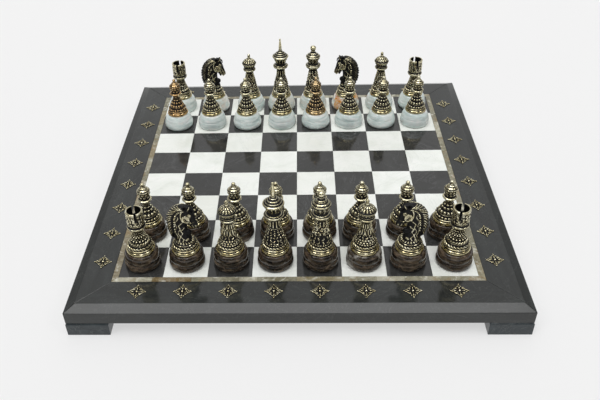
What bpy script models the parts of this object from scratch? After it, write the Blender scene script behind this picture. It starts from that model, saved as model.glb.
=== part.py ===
"""Chess set on a raised marble board.

One square side is the unit that every other size follows.  The frame has
+Z up, the origin under the middle of the board, on the plane the four feet
stand on, +X to the right and +Y from the dark side of the board to the
light side.  All lengths are metres.
"""
import math

import bmesh
import bpy
from mathutils import Matrix, Vector

# ---------------------------------------------------------------- dimensions
SQUARE = 0.045                 # side of one playing square
GAP = 0.0003                   # clearance kept between touching pieces

FOOT_HEIGHT = 0.0158
FOOT_SIDE = 0.0425
FOOT_CHAMFER = 0.0016
FOOT_OUTER = 0.2265            # outer faces of the feet, from the middle

BOARD_HALF = 0.2260            # outer edge of the border
BOARD_FLAT_HALF = 0.2160       # where the sloped edge starts
BOARD_SLOPE_DROP = 0.0040
BOARD_TOP = 0.0338             # playing surface
BORDER_BOTTOM = FOOT_HEIGHT + GAP
BORDER_INNER = 0.1866

FIELD_HALF = 4 * SQUARE        # eight squares
INLAY_INNER = 0.1802
INLAY_OUTER = 0.1863
PANEL_HALF = 0.1862
PANEL_BOTTOM = 0.0164
PANEL_TOP = 0.0254
TILE_BOTTOM = PANEL_TOP + GAP
TILE_FLOOR_TOP = 0.0282        # the web that carries the dark squares
CORNER_CLIP = 0.0012           # leg of the clipped corner of a dark square

BOSS_REACH = 0.0094            # medallion, middle to tip
BOSS_WAIST = 0.0056            # medallion, middle to the inner corners (x and y)
BOSS_HEIGHT = 0.0008
BOSS_ROW = 0.2008              # distance of the medallions from the middle

PIECE_FLOOR = BOARD_TOP + GAP
BASE_HEIGHT = 0.412            # from here on, in squares
SOCKET_RADIUS = 0.100
SOCKET_FLOOR = 0.272
TENON_RADIUS = 0.090
TENON_END = 0.282
FIGURE_FOOT = 0.419
FLANGE_RADIUS = 0.327

BASE_STEPS = 14
FIGURE_STEPS = 12
PAWN_STEPS = 10

ROOK_SLOT_WIDTH = 0.055
ROOK_SLOT_FLOOR = 1.29
KNIGHT_HALF_THICKNESS = 0.125
KNIGHT_EDGE = 0.035

# ------------------------------------------------- turned outlines, in squares
# (radius, height), from the top of the piece down its outer side
STONE_BASE = [(0.358, 0.412), (0.390, 0.310), (0.411, 0.130), (0.398, 0.035),
              (0.360, 0.000)]
KING = [(0.000, 2.237), (0.022, 2.205), (0.047, 1.881), (0.088, 1.849),
        (0.176, 1.786), (0.235, 1.690), (0.133, 1.546), (0.136, 1.497),
        (0.217, 1.390), (0.107, 1.286), (0.126, 1.070), (0.180, 0.905),
        (0.233, 0.737), (0.262, 0.585), (0.300, 0.505),
        (FLANGE_RADIUS, 0.455)]
QUEEN = [(0.000, 2.000), (0.062, 1.985), (0.085, 1.933), (0.055, 1.865),
         (0.111, 1.768), (0.208, 1.673), (0.132, 1.513), (0.218, 1.399),
         (0.110, 1.270), (0.128, 1.055), (0.186, 0.889), (0.226, 0.721),
         (0.262, 0.585), (0.300, 0.505), (FLANGE_RADIUS, 0.455)]
BISHOP = [(0.000, 1.771), (0.035, 1.676), (0.150, 1.560), (0.205, 1.466),
          (0.161, 1.352), (0.179, 1.253), (0.092, 1.170), (0.166, 0.921),
          (0.205, 0.740), (0.252, 0.585), (0.300, 0.505),
          (FLANGE_RADIUS, 0.455)]
ROOK = [(0.000, 1.200), (0.150, 1.200), (0.150, 1.540), (0.190, 1.540),
        (0.185, 1.160), (0.205, 1.105), (0.166, 1.038), (0.100, 0.988),
        (0.190, 0.683), (0.252, 0.585), (0.300, 0.505),
        (FLANGE_RADIUS, 0.455)]
KNIGHT_FOOT = [(0.000, 0.700), (0.190, 0.690), (0.225, 0.630), (0.252, 0.585),
               (0.300, 0.505), (FLANGE_RADIUS, 0.455)]
PAWN = [(0.000, 1.505), (0.045, 1.440), (0.110, 1.385), (0.146, 1.312),
        (0.105, 1.150), (0.163, 1.080), (0.117, 1.000), (0.075, 0.934),
        (0.162, 0.710), (0.242, 0.585), (0.298, 0.505),
        (FLANGE_RADIUS, 0.455), (FLANGE_RADIUS, 0.419)]
# side view of the horse, facing +X: (forward, height)
HORSE = [(-0.17, 0.62), (-0.24, 0.73), (-0.335, 0.86), (-0.366, 1.05),
         (-0.36, 1.20), (-0.317, 1.39), (-0.19, 1.576), (0.00, 1.650),
         (0.15, 1.64), (0.22, 1.71), (0.25, 1.62), (0.30, 1.58),
         (0.28, 1.45), (0.372, 1.25), (0.397, 1.11), (0.34, 1.035),
         (0.21, 1.066), (0.13, 1.12), (0.13, 1.05), (0.228, 0.94),
         (0.175, 0.82), (0.19, 0.62)]

# ------------------------------------------------------------------- set out
FILES = "hgfedcba"             # from -X to +X
LIGHT_ROW = ["rook", "knight", "bishop", "king", "queen", "knight", "bishop",
             "rook"]
DARK_ROW = ["rook", "knight", "bishop", "king", "queen", "bishop", "knight",
            "rook"]
# how far each piece stands off the middle of its square, along X, in squares
LIGHT_SHIFT = [0.00, 0.02, 0.10, 0.03, -0.01, -0.02, 0.00, 0.00]
LIGHT_PAWN_SHIFT = [0.00, 0.00, 0.035, 0.06, 0.05, 0.02, -0.03, -0.05]
DARK_SHIFT = [-0.02, 0.00, 0.01, 0.015, 0.035, 0.017, 0.005, 0.034]
DARK_PAWN_SHIFT = [-0.02, 0.02, 0.07, 0.03, 0.035, -0.015, 0.015, 0.00]
# how far each rook's slot and each knight's head is turned, in degrees
LIGHT_TURN = {0: 84, 1: 0, 5: 180, 7: 97}
DARK_TURN = {0: 108, 1: -12, 6: 192, 7: 72}

COLOURS = {
    "dark_marble": ((0.070, 0.070, 0.068), 0.16, 0.0),
    "white_marble": ((0.860, 0.870, 0.850), 0.20, 0.0),
    "border_marble": ((0.060, 0.066, 0.068), 0.22, 0.0),
    "shell_inlay": ((0.450, 0.390, 0.250), 0.25, 0.0),
    "foot_marble": ((0.066, 0.078, 0.078), 0.30, 0.0),
    "backing_board": ((0.050, 0.050, 0.050), 0.80, 0.0),
    "light_onyx": ((0.560, 0.640, 0.640), 0.18, 0.0),
    "dark_onyx": ((0.055, 0.036, 0.030), 0.15, 0.0),
    "antique_brass": ((0.560, 0.450, 0.190), 0.32, 1.0),
}


# -------------------------------------------------------------------- helpers
def collection(name):
    made = bpy.data.collections.new(name)
    bpy.context.scene.collection.children.link(made)
    return made


def finish(obj, colour):
    """Give the object a material of its own."""
    base, rough, metal = COLOURS[colour]
    mat = bpy.data.materials.new(obj.name + "_" + colour)
    mat.use_nodes = True
    shader = mat.node_tree.nodes["Principled BSDF"]
    shader.inputs["Base Color"].default_value = (*base, 1.0)
    shader.inputs["Roughness"].default_value = rough
    shader.inputs["Metallic"].default_value = metal
    obj.data.materials.append(mat)


def mesh_object(name, bm, group):
    mesh = bpy.data.meshes.new(name)
    bm.to_mesh(mesh)
    bm.free()
    obj = bpy.data.objects.new(name, mesh)
    group.objects.link(obj)
    return obj


def add_box(bm, low, high):
    size = [b - a for a, b in zip(low, high)]
    mid = [(a + b) / 2 for a, b in zip(low, high)]
    return bmesh.ops.create_cube(
        bm, size=1.0,
        matrix=Matrix.Translation(mid) @ Matrix.Diagonal((*size, 1.0)))["verts"]


def box(name, low, high, group):
    bm = bmesh.new()
    add_box(bm, low, high)
    return mesh_object(name, bm, group)


def slice_off(bm, point, normal):
    """Cut everything off beyond a plane and close the cut."""
    cut = bmesh.ops.bisect_plane(
        bm, geom=bm.verts[:] + bm.edges[:] + bm.faces[:], dist=1e-7,
        plane_co=point, plane_no=normal, clear_outer=True)
    edges = [e for e in cut["geom_cut"] if isinstance(e, bmesh.types.BMEdge)]
    bmesh.ops.edgeloop_fill(bm, edges=edges)
    bmesh.ops.recalc_face_normals(bm, faces=bm.faces[:])


def prism(bm, outline, low, high):
    """Upright prism on an outline that runs anticlockwise."""
    verts = [bm.verts.new((x, y, low)) for x, y in outline]
    face = bm.faces.new(verts)
    up = bmesh.ops.extrude_face_region(bm, geom=[face])["geom"]
    bmesh.ops.translate(bm, vec=(0, 0, high - low),
                        verts=[v for v in up if isinstance(v, bmesh.types.BMVert)])


def boolean(obj, cutter, operation):
    mod = obj.modifiers.new(operation.lower(), "BOOLEAN")
    mod.operation = operation
    mod.solver = "EXACT"
    mod.object = cutter
    cutter.hide_render = True
    cutter.display_type = "WIRE"


def turned(name, outline, steps, group):
    """A turned solid: an outline in squares, swept about Z by Screw."""
    bm = bmesh.new()
    verts = [bm.verts.new((r * SQUARE, 0.0, z * SQUARE)) for r, z in outline]
    for a, b in zip(verts, verts[1:]):
        bm.edges.new((a, b))
    obj = mesh_object(name, bm, group)
    screw = obj.modifiers.new("turn", "SCREW")
    screw.steps = steps
    screw.render_steps = steps
    screw.use_merge_vertices = True
    screw.merge_threshold = 1e-5
    screw.use_smooth_shade = True
    return obj


def figure_outline(outer):
    return outer + [(FLANGE_RADIUS, FIGURE_FOOT), (TENON_RADIUS, FIGURE_FOOT),
                    (TENON_RADIUS, TENON_END), (0.0, TENON_END)]


def baked(obj):
    """Turn an object's evaluated shape into its own plain mesh."""
    bpy.context.view_layer.update()
    graph = bpy.context.evaluated_depsgraph_get()
    mesh = bpy.data.meshes.new_from_object(obj.evaluated_get(graph))
    mesh.name = obj.name
    obj.modifiers.clear()
    obj.data = mesh
    return mesh


# ---------------------------------------------------------------------- board
def clipped_square(col, row, half, clip):
    """Outline of one square, its corners clipped where four squares meet."""
    cx, cy = (col - 3.5) * SQUARE, (row - 3.5) * SQUARE
    outline = []
    for sx, sy in ((-1, -1), (1, -1), (1, 1), (-1, 1)):
        x, y = cx + sx * half, cy + sy * half
        inside = 0 < col + (sx > 0) < 8 and 0 < row + (sy > 0) < 8
        if not inside:
            outline.append((x, y))
        elif sx == sy:
            outline += [(x, y - sy * clip), (x - sx * clip, y)]
        else:
            outline += [(x - sx * clip, y), (x, y - sy * clip)]
    return outline


def dark_cells():
    for col in range(8):
        for row in range(8):
            if (col + row) % 2 == 0:
                yield col, row


def square_fields(group, cutters):
    """The light slab with its openings, and the dark slab that fills them."""
    half = FIELD_HALF - GAP / 3
    light = box("light_squares", (-half, -half, TILE_FLOOR_TOP + GAP),
                (half, half, BOARD_TOP), group)
    bm = bmesh.new()
    for col, row in dark_cells():
        prism(bm, clipped_square(col, row, SQUARE / 2 + GAP / 2, CORNER_CLIP),
              TILE_FLOOR_TOP - 0.002, BOARD_TOP + 0.002)
    bmesh.ops.recalc_face_normals(bm, faces=bm.faces[:])
    boolean(light, mesh_object("light_squares_cutter", bm, cutters), "DIFFERENCE")

    dark = box("dark_squares", (-half, -half, TILE_BOTTOM),
               (half, half, TILE_FLOOR_TOP), group)
    bm = bmesh.new()
    for col, row in dark_cells():
        prism(bm, clipped_square(col, row, SQUARE / 2 - GAP / 2,
                                 CORNER_CLIP + GAP),
              TILE_FLOOR_TOP - 0.001, BOARD_TOP)
    bmesh.ops.recalc_face_normals(bm, faces=bm.faces[:])
    boolean(dark, mesh_object("dark_squares_blocks", bm, cutters), "UNION")
    finish(light, "white_marble")
    finish(dark, "dark_marble")


def medallion_outline(cx, cy):
    r, w = BOSS_REACH, BOSS_WAIST
    star = [(r, 0), (w, w), (0, r), (-w, w), (-r, 0), (-w, -w), (0, -r), (w, -w)]
    return [(cx + x, cy + y) for x, y in star]


def border(name, turn, group, cutters):
    """One mitred slab of the border, made at the -Y side and turned round."""
    bm = bmesh.new()
    add_box(bm, (-BOARD_HALF, -BOARD_HALF, BORDER_BOTTOM),
            (BOARD_HALF, -BORDER_INNER, BOARD_TOP))
    for side in (1, -1):       # the two mitres
        slice_off(bm, Vector((-side * GAP * 0.7, 0, 0)),
                  Vector((side, 1, 0)).normalized())
    slope = Vector((0, -BOARD_SLOPE_DROP, BOARD_HALF - BOARD_FLAT_HALF)).normalized()
    slice_off(bm, Vector((0, -BOARD_FLAT_HALF, BOARD_TOP)), slope)
    slab = mesh_object(name, bm, group)
    bm = bmesh.new()
    for col in range(8):
        prism(bm, medallion_outline((col - 3.5) * SQUARE, -BOSS_ROW),
              BOARD_TOP - 0.001, BOARD_TOP + BOSS_HEIGHT)
    bmesh.ops.recalc_face_normals(bm, faces=bm.faces[:])
    bosses = mesh_object(name + "_bosses", bm, cutters)
    spin = Matrix.Rotation(math.radians(turn), 4, "Z")
    for obj in (slab, bosses):
        obj.data.transform(spin)
    boolean(slab, bosses, "UNION")
    finish(slab, "border_marble")


def foot(name, sx, sy, group):
    a, b = FOOT_OUTER - FOOT_SIDE, FOOT_OUTER
    xs, ys = sorted((sx * a, sx * b)), sorted((sy * a, sy * b))
    bm = bmesh.new()
    add_box(bm, (xs[0], ys[0], 0.0), (xs[1], ys[1], FOOT_HEIGHT))
    top = [e for e in bm.edges
           if all(v.co.z > FOOT_HEIGHT - 1e-6 for v in e.verts)]
    bmesh.ops.bevel(bm, geom=top, offset=FOOT_CHAMFER, segments=1,
                    affect="EDGES")
    finish(mesh_object(name, bm, group), "foot_marble")


def board(group, cutters):
    finish(box("backing_panel", (-PANEL_HALF, -PANEL_HALF, PANEL_BOTTOM),
               (PANEL_HALF, PANEL_HALF, PANEL_TOP), group), "backing_board")
    inlay = box("inlay_frame", (-INLAY_OUTER, -INLAY_OUTER, TILE_BOTTOM),
                (INLAY_OUTER, INLAY_OUTER, BOARD_TOP), group)
    hole = box("inlay_cutter", (-INLAY_INNER, -INLAY_INNER, 0.0),
               (INLAY_INNER, INLAY_INNER, 0.1), cutters)
    boolean(inlay, hole, "DIFFERENCE")
    finish(inlay, "shell_inlay")
    square_fields(group, cutters)
    for name, turn in (("border_front", 0), ("border_right", 90),
                       ("border_back", 180), ("border_left", 270)):
        border(name, turn, group, cutters)
    for name, sx, sy in (("foot_front_left", -1, -1), ("foot_front_right", 1, -1),
                         ("foot_back_left", -1, 1), ("foot_back_right", 1, 1)):
        foot(name, sx, sy, group)


# --------------------------------------------------------------------- pieces
def base_shape(cutters):
    outline = [(0.0, SOCKET_FLOOR), (SOCKET_RADIUS, SOCKET_FLOOR),
               (SOCKET_RADIUS, BASE_HEIGHT)] + STONE_BASE + [(0.0, 0.0)]
    return turned("pattern_base", outline, BASE_STEPS, cutters)


def rook_shape(cutters):
    obj = turned("pattern_rook", figure_outline(ROOK), FIGURE_STEPS, cutters)
    w = ROOK_SLOT_WIDTH * SQUARE / 2
    slot = box("rook_slot", (-0.3 * SQUARE, -w, ROOK_SLOT_FLOOR * SQUARE),
               (0.3 * SQUARE, w, 1.7 * SQUARE), cutters)
    boolean(obj, slot, "DIFFERENCE")
    return obj


def horse_solid(cutters):
    """The horse's neck and head: a flat outline given thickness."""
    data = bpy.data.curves.new("horse_outline", "CURVE")
    data.dimensions = "2D"
    data.fill_mode = "BOTH"
    data.extrude = (KNIGHT_HALF_THICKNESS - KNIGHT_EDGE) * SQUARE
    data.bevel_depth = KNIGHT_EDGE * SQUARE
    data.bevel_resolution = 0
    data.offset = -KNIGHT_EDGE * SQUARE
    spline = data.splines.new("POLY")
    spline.points.add(len(HORSE) - 1)
    for point, (x, z) in zip(spline.points, HORSE):
        point.co = (x * SQUARE, z * SQUARE, 0.0, 1.0)
    spline.use_cyclic_u = True
    curve = bpy.data.objects.new("horse_outline", data)
    curve.rotation_euler = (math.radians(90), 0, 0)
    cutters.objects.link(curve)
    bpy.context.view_layer.update()
    graph = bpy.context.evaluated_depsgraph_get()
    mesh = bpy.data.meshes.new_from_object(curve.evaluated_get(graph))
    bm = bmesh.new()
    bm.from_mesh(mesh)
    bmesh.ops.remove_doubles(bm, verts=bm.verts[:], dist=1e-6)
    bmesh.ops.dissolve_limit(bm, angle_limit=0.01, verts=bm.verts[:],
                             edges=bm.edges[:])
    bmesh.ops.recalc_face_normals(bm, faces=bm.faces[:])
    solid = mesh_object("horse_solid", bm, cutters)
    solid.matrix_world = curve.matrix_world.copy()
    bpy.data.objects.remove(curve)
    return solid


def knight_shape(cutters):
    obj = turned("pattern_knight", figure_outline(KNIGHT_FOOT), FIGURE_STEPS,
                 cutters)
    boolean(obj, horse_solid(cutters), "UNION")
    return obj


def place(name, mesh, centre, turn, colour, group):
    """A copy of a pattern, its origin on the piece's own upright axis."""
    obj = bpy.data.objects.new(name, mesh.copy())
    obj.data.name = name
    obj.location = (centre[0], centre[1], PIECE_FLOOR)
    obj.rotation_euler = (0, 0, math.radians(turn))
    obj.data.materials.clear()
    finish(obj, colour)
    group.objects.link(obj)
    obj.data.shade_smooth()
    obj.data.set_sharp_from_angle(angle=math.radians(40))
    return obj


def chess_pieces(group, cutters):
    patterns = {
        "base": base_shape(cutters),
        "king": turned("pattern_king", figure_outline(KING), FIGURE_STEPS, cutters),
        "queen": turned("pattern_queen", figure_outline(QUEEN), FIGURE_STEPS,
                        cutters),
        "bishop": turned("pattern_bishop", figure_outline(BISHOP), FIGURE_STEPS,
                         cutters),
        "rook": rook_shape(cutters),
        "knight": knight_shape(cutters),
        "pawn": turned("pattern_pawn", PAWN + STONE_BASE + [(0.0, 0.0)],
                       PAWN_STEPS, cutters),
    }
    meshes = {key: baked(obj) for key, obj in patterns.items()}
    for obj in patterns.values():
        obj.hide_render = True
        obj.display_type = "WIRE"
    for side, row, shifts, pawn_shifts, turns, sign in (
            ("light", LIGHT_ROW, LIGHT_SHIFT, LIGHT_PAWN_SHIFT, LIGHT_TURN, 1),
            ("dark", DARK_ROW, DARK_SHIFT, DARK_PAWN_SHIFT, DARK_TURN, -1)):
        for col, kind in enumerate(row):
            x = (col - 3.5 + shifts[col]) * SQUARE
            y = sign * 3.5 * SQUARE
            turn = turns.get(col, 0)
            if kind == "king":
                label = f"{side}_king"
            elif kind == "queen":
                label = f"{side}_queen"
            else:
                label = f"{side}_{kind}_{FILES[col]}"
            place(label + "_base", meshes["base"], (x, y), 0, side + "_onyx", group)
            place(label + "_figure", meshes[kind], (x, y), turn,
                  "antique_brass", group)
            px = (col - 3.5 + pawn_shifts[col]) * SQUARE
            place(f"{side}_pawn_{FILES[col]}", meshes["pawn"],
                  (px, sign * 2.5 * SQUARE), 0, "antique_brass", group)


def main():
    for obj in list(bpy.data.objects):
        bpy.data.objects.remove(obj, do_unlink=True)
    group = collection("chess_set")
    cutters = collection("cutters")
    board(group, cutters)
    chess_pieces(group, cutters)


main()
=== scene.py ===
import math

import bmesh
import bpy
import numpy as np
from mathutils import Matrix, Vector
from mathutils.kdtree import KDTree


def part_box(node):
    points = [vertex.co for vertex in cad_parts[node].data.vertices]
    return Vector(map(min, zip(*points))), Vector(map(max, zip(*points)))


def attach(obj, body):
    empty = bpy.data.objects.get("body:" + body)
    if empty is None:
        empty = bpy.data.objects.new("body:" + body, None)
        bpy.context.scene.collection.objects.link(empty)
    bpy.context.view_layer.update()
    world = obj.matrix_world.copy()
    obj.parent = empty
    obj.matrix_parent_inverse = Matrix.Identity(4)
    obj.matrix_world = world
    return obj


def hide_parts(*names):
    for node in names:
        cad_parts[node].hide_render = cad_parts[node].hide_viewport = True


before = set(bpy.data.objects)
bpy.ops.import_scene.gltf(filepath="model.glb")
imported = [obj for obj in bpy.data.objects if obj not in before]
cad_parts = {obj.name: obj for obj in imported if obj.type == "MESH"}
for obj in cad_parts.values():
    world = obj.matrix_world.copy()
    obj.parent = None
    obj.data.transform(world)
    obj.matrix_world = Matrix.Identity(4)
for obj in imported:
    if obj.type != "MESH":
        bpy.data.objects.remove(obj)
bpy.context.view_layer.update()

S = 0.045                                   # one playing square, metres
TOP = float(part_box("dark_squares")[1][2])   # playing surface
LIFT = 0.00015                              # the pieces' bottoms clear the marble
RNG = np.random.default_rng(11)
COL = bpy.data.collections.new("chess_visual")
bpy.context.scene.collection.children.link(COL)


# =============================================================== mesh helpers
def new_object(name, verts, faces, mats, mat_index=None, smooth=True, sharp=None):
    mesh = bpy.data.meshes.new(name)
    mesh.from_pydata(np.asarray(verts, float).tolist(), [], faces)
    mesh.validate()
    obj = bpy.data.objects.new(name, mesh)
    COL.objects.link(obj)
    for m in mats if isinstance(mats, (list, tuple)) else [mats]:
        mesh.materials.append(m)
    if mat_index is not None:
        mesh.polygons.foreach_set("material_index", np.asarray(mat_index, np.int32))
    if smooth:
        mesh.shade_smooth()
        if sharp:
            mesh.set_sharp_from_angle(angle=math.radians(sharp))
    return obj


def put_attribute(obj, name, values):
    att = obj.data.attributes.get(name) or obj.data.attributes.new(name, "FLOAT", "POINT")
    att.data.foreach_set("value", np.asarray(values, np.float32))


def grid_faces(rings, steps, offset=0):
    """Quads between rings of `steps` points that close on themselves."""
    i = np.arange(rings - 1)[:, None] * steps
    j = np.arange(steps)[None, :]
    k = (j + 1) % steps
    a, b, c, d = i + j, i + k, i + steps + k, i + steps + j
    return (np.stack([a, b, c, d], -1).reshape(-1, 4) + offset)


class Shape:
    """Vertices, faces and per-vertex channels gathered from several parts."""

    def __init__(self):
        self.v, self.f, self.ch, self.n = [], [], {}, 0

    def add(self, verts, faces, **channels):
        verts = np.asarray(verts, float)
        self.v.append(verts)
        for f in faces:
            self.f.append([int(i) + self.n for i in f])
        for key in set(self.ch) | set(channels):
            have = self.ch.setdefault(key, np.zeros(self.n))
            new = np.asarray(channels.get(key, 0.0), float)
            if new.ndim == 0:
                new = np.full(len(verts), float(new))
            self.ch[key] = np.concatenate([have, new])
        self.n += len(verts)

    def points(self):
        return np.concatenate(self.v)


def smoothstep(a, b, x):
    t = np.clip((x - a) / (b - a), 0, 1)
    return t * t * (3 - 2 * t)


def hash01(*keys):
    x = np.zeros_like(np.asarray(keys[0], float))
    for i, k in enumerate(keys):
        x = x + np.asarray(k, float) * (12.9898 + 65.233 * i)
    return np.mod(np.sin(x) * 43758.5453, 1.0)


# ============================================================ relief patterns
# Each takes u (0..1 round the piece) and v (0..1 up the band) and gives the
# height of the relief, 0 in the ground and 1 on the ridges.
def p_bead(n, fill=0.92):
    def f(u, v):
        a = (u * n % 1 - 0.5) / (0.5 * fill)
        b = (v - 0.5) / 0.5
        return np.sqrt(np.clip(1 - a * a - b * b, 0, 1))
    return f


def p_rope(n, slant=0.9):
    def f(u, v):
        ph = u * n + slant * v
        r = np.abs(np.sin(np.pi * ph)) ** 0.6
        return r * np.sqrt(np.clip(1 - (2 * v - 1) ** 2, 0, 1)) ** 0.5
    return f


def p_flute(n, width=0.5, cap=0.12):
    """Upright ribs whose tops close in a rounded arch."""
    def f(u, v):
        a = np.abs(u * n % 1 - 0.5) * 2
        rib = smoothstep(1 - width, 1 - width * 0.35, a)
        arch = smoothstep(1 - cap, 1 - cap * 0.3, np.maximum(v, 1 - v))
        mid = smoothstep(0.16, 0.06, a) * smoothstep(0.1, 0.3, v) * smoothstep(0.95, 0.7, v)
        return np.maximum(np.maximum(rib, arch), 0.8 * mid)
    return f


def p_leaf(n, rows, lean=0.0):
    """Rows of pointed leaves, each with a raised rim and midrib."""
    def f(u, v):
        out = np.zeros(np.broadcast(u, v).shape)
        for row in range(-1, rows + 1):
            uu = u * n + 0.5 * (row % 2) + lean * v
            a = (uu % 1) - 0.5
            b = v * rows - row          # 0 at the root, up to 1.45 at the tip
            t = b / 1.45
            w = 0.50 * np.clip(np.sin(np.pi * np.clip(t, 0, 1) ** 0.72), 0, 1) ** 0.8
            inside = (t > 0) & (t < 1) & (np.abs(a) < w)
            rim = smoothstep(0.20, 0.08, w - np.abs(a))
            rib = smoothstep(0.11, 0.04, np.abs(a)) * smoothstep(0.0, 0.2, t) * smoothstep(0.9, 0.7, t)
            leaf = 0.12 + np.maximum(rim * 0.85, rib * 0.80)
            out = np.where(inside, leaf, out)
        return np.clip(out, 0, 1)
    return f


def p_scroll(n, rows, turns=2.7):
    """Mirrored volutes with a small boss in each gap."""
    def f(u, v):
        row = np.floor(v * rows)
        uu = u * n + 0.5 * (row % 2)
        cell = np.floor(uu)
        a = (uu % 1) - 0.5
        b = (v * rows % 1) - 0.5
        a = np.where((cell % 2) == 0, a, -a)
        rho = np.hypot(a, b)
        phi = np.arctan2(b, a) / (2 * np.pi)
        s = (rho * turns - phi) % 1
        ridge = smoothstep(0.30, 0.16, np.abs(s - 0.5)) * smoothstep(0.60, 0.50, rho)
        ca, cb = np.abs(a) - 0.5, np.abs(b) - 0.5
        boss = smoothstep(0.20, 0.10, np.hypot(ca, cb))
        return np.clip(np.maximum(ridge, boss * 0.9), 0, 1)
    return f


def p_vine(n, rows):
    """Small curled leaves set at changing angles, like chased foliage."""
    def f(u, v):
        out = np.zeros(np.broadcast(u, v).shape)
        uu, vv = u * n, v * rows
        for di in (-1, 0, 1):
            for dj in (-1, 0, 1):
                ci, cj = np.floor(uu) + di, np.floor(vv) + dj
                key = np.mod(ci, n)
                inb = (cj >= 0) & (cj < rows)
                jx = 0.5 + 0.26 * (hash01(key, cj) - 0.5)
                jy = 0.5 + 0.26 * (hash01(cj + 7.7, key) - 0.5)
                ang = np.pi * (0.28 + 0.44 * np.mod(ci + cj, 2)) + 0.9 * (hash01(key + 1.3, cj + 2.1) - 0.5)
                a, b = uu - ci - jx, vv - cj - jy
                ca, sa = np.cos(ang), np.sin(ang)
                x = a * ca + b * sa
                y = -a * sa + b * ca - 0.9 * (x * x) + 0.06
                d = np.hypot(x / 0.56, y / 0.20)
                out = np.maximum(out, np.where(inb, np.sqrt(np.clip(1 - d * d, 0, 1)), 0))
        return out
    return f


def p_dots(n, rows, size=0.36):
    def f(u, v):
        row = np.floor(v * rows)
        a = (u * n + 0.5 * (row % 2)) % 1 - 0.5
        b = (v * rows) % 1 - 0.5
        d = np.hypot(a, b) / size
        return np.sqrt(np.clip(1 - d * d, 0, 1))
    return f


def p_pebble(n, rows):
    """Irregular pebbled ground: jittered cells."""
    def f(u, v):
        uu, vv = u * n, v * rows
        best = np.full(np.broadcast(u, v).shape, 9.0)
        for di in (-1, 0, 1):
            for dj in (-1, 0, 1):
                ci, cj = np.floor(uu) + di, np.floor(vv) + dj
                jx = hash01(np.mod(ci, n), cj) * 0.8 + 0.1
                jy = hash01(cj + 3.1, np.mod(ci, n)) * 0.8 + 0.1
                best = np.minimum(best, np.hypot(uu - ci - jx, vv - cj - jy))
        return np.clip(1 - best / 0.62, 0, 1) ** 0.5
    return f


def p_petal(n):
    """One row of tall overlapping petals, as on a bud or a crown."""
    def f(u, v):
        a = np.abs((u * n) % 1 - 0.5) * 2
        w = np.clip(1 - (2 * v - 1) ** 2, 0, 1) ** 0.5 * 0.98
        rim = smoothstep(0.28, 0.06, np.abs(w - a))
        inner = smoothstep(0.0, 0.35, w - a)
        rib = smoothstep(0.16, 0.04, a)
        a2 = np.abs((u * n + 0.5) % 1 - 0.5) * 2
        w2 = np.clip((v - 0.25) / 0.75, 0, 1) * 0.9
        back = smoothstep(0.22, 0.05, np.abs(w2 * 0.6 - a2)) * (v > 0.25) * 0.6
        return np.clip(np.maximum(np.maximum(rim * 0.9, inner * 0.28 + rib * 0.6 * inner), back), 0, 1)
    return f


def p_wave(n, rows):
    """Interlaced ribbon."""
    def f(u, v):
        t = 2 * np.pi * n * u
        r1 = smoothstep(0.20, 0.07, np.abs((v - 0.5) - 0.34 * np.sin(t)))
        r2 = smoothstep(0.20, 0.07, np.abs((v - 0.5) + 0.34 * np.sin(t)))
        dots = smoothstep(0.22, 0.12, np.hypot(((u * 2 * n + 0.5) % 1 - 0.5), (v - 0.5) * 1.6))
        return np.clip(np.maximum(np.maximum(r1, r2), dots), 0, 1)
    return f


PLAIN, DARK, BRIGHT = "plain", "dark", "bright"


def profile(start, bands, step):
    """Sample an outline that runs upward.

    bands: (radius, height, bulge, pattern, depth) to the next point, all in
    squares.  A band whose pattern is a function keeps it across the whole
    band, with v from 0 to 1."""
    R, Z, V, B = [start[0]], [start[1]], [0.0], [0]
    r0, z0 = start
    runs = []
    for k, (r1, z1, bulge, pattern, depth) in enumerate(bands):
        length = math.hypot(r1 - r0, z1 - z0)
        count = max(2 if length > 0.004 else 1, int(math.ceil(length * (1 + 2.0 * bulge * bulge) / step)))
        if callable(pattern):
            count = max(count, 8)
        nx, nz = (z1 - z0) / length, -(r1 - r0) / length
        for i in range(1, count + 1):
            t = i / count
            off = bulge * length * 4 * t * (1 - t) * 0.5
            if abs(bulge) > 0.45:                 # near half-round
                off = math.copysign(math.sqrt(max(0.0, 1 - (2 * t - 1) ** 2)), bulge) \
                    * length * abs(bulge)
            R.append(r0 + (r1 - r0) * t + nx * off)
            Z.append(z0 + (z1 - z0) * t + nz * off)
            V.append(t)
            B.append(k)
        r0, z0 = r1, z1
    B[0] = 0
    return np.array(R), np.array(Z), np.array(V), np.array(B)


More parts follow.
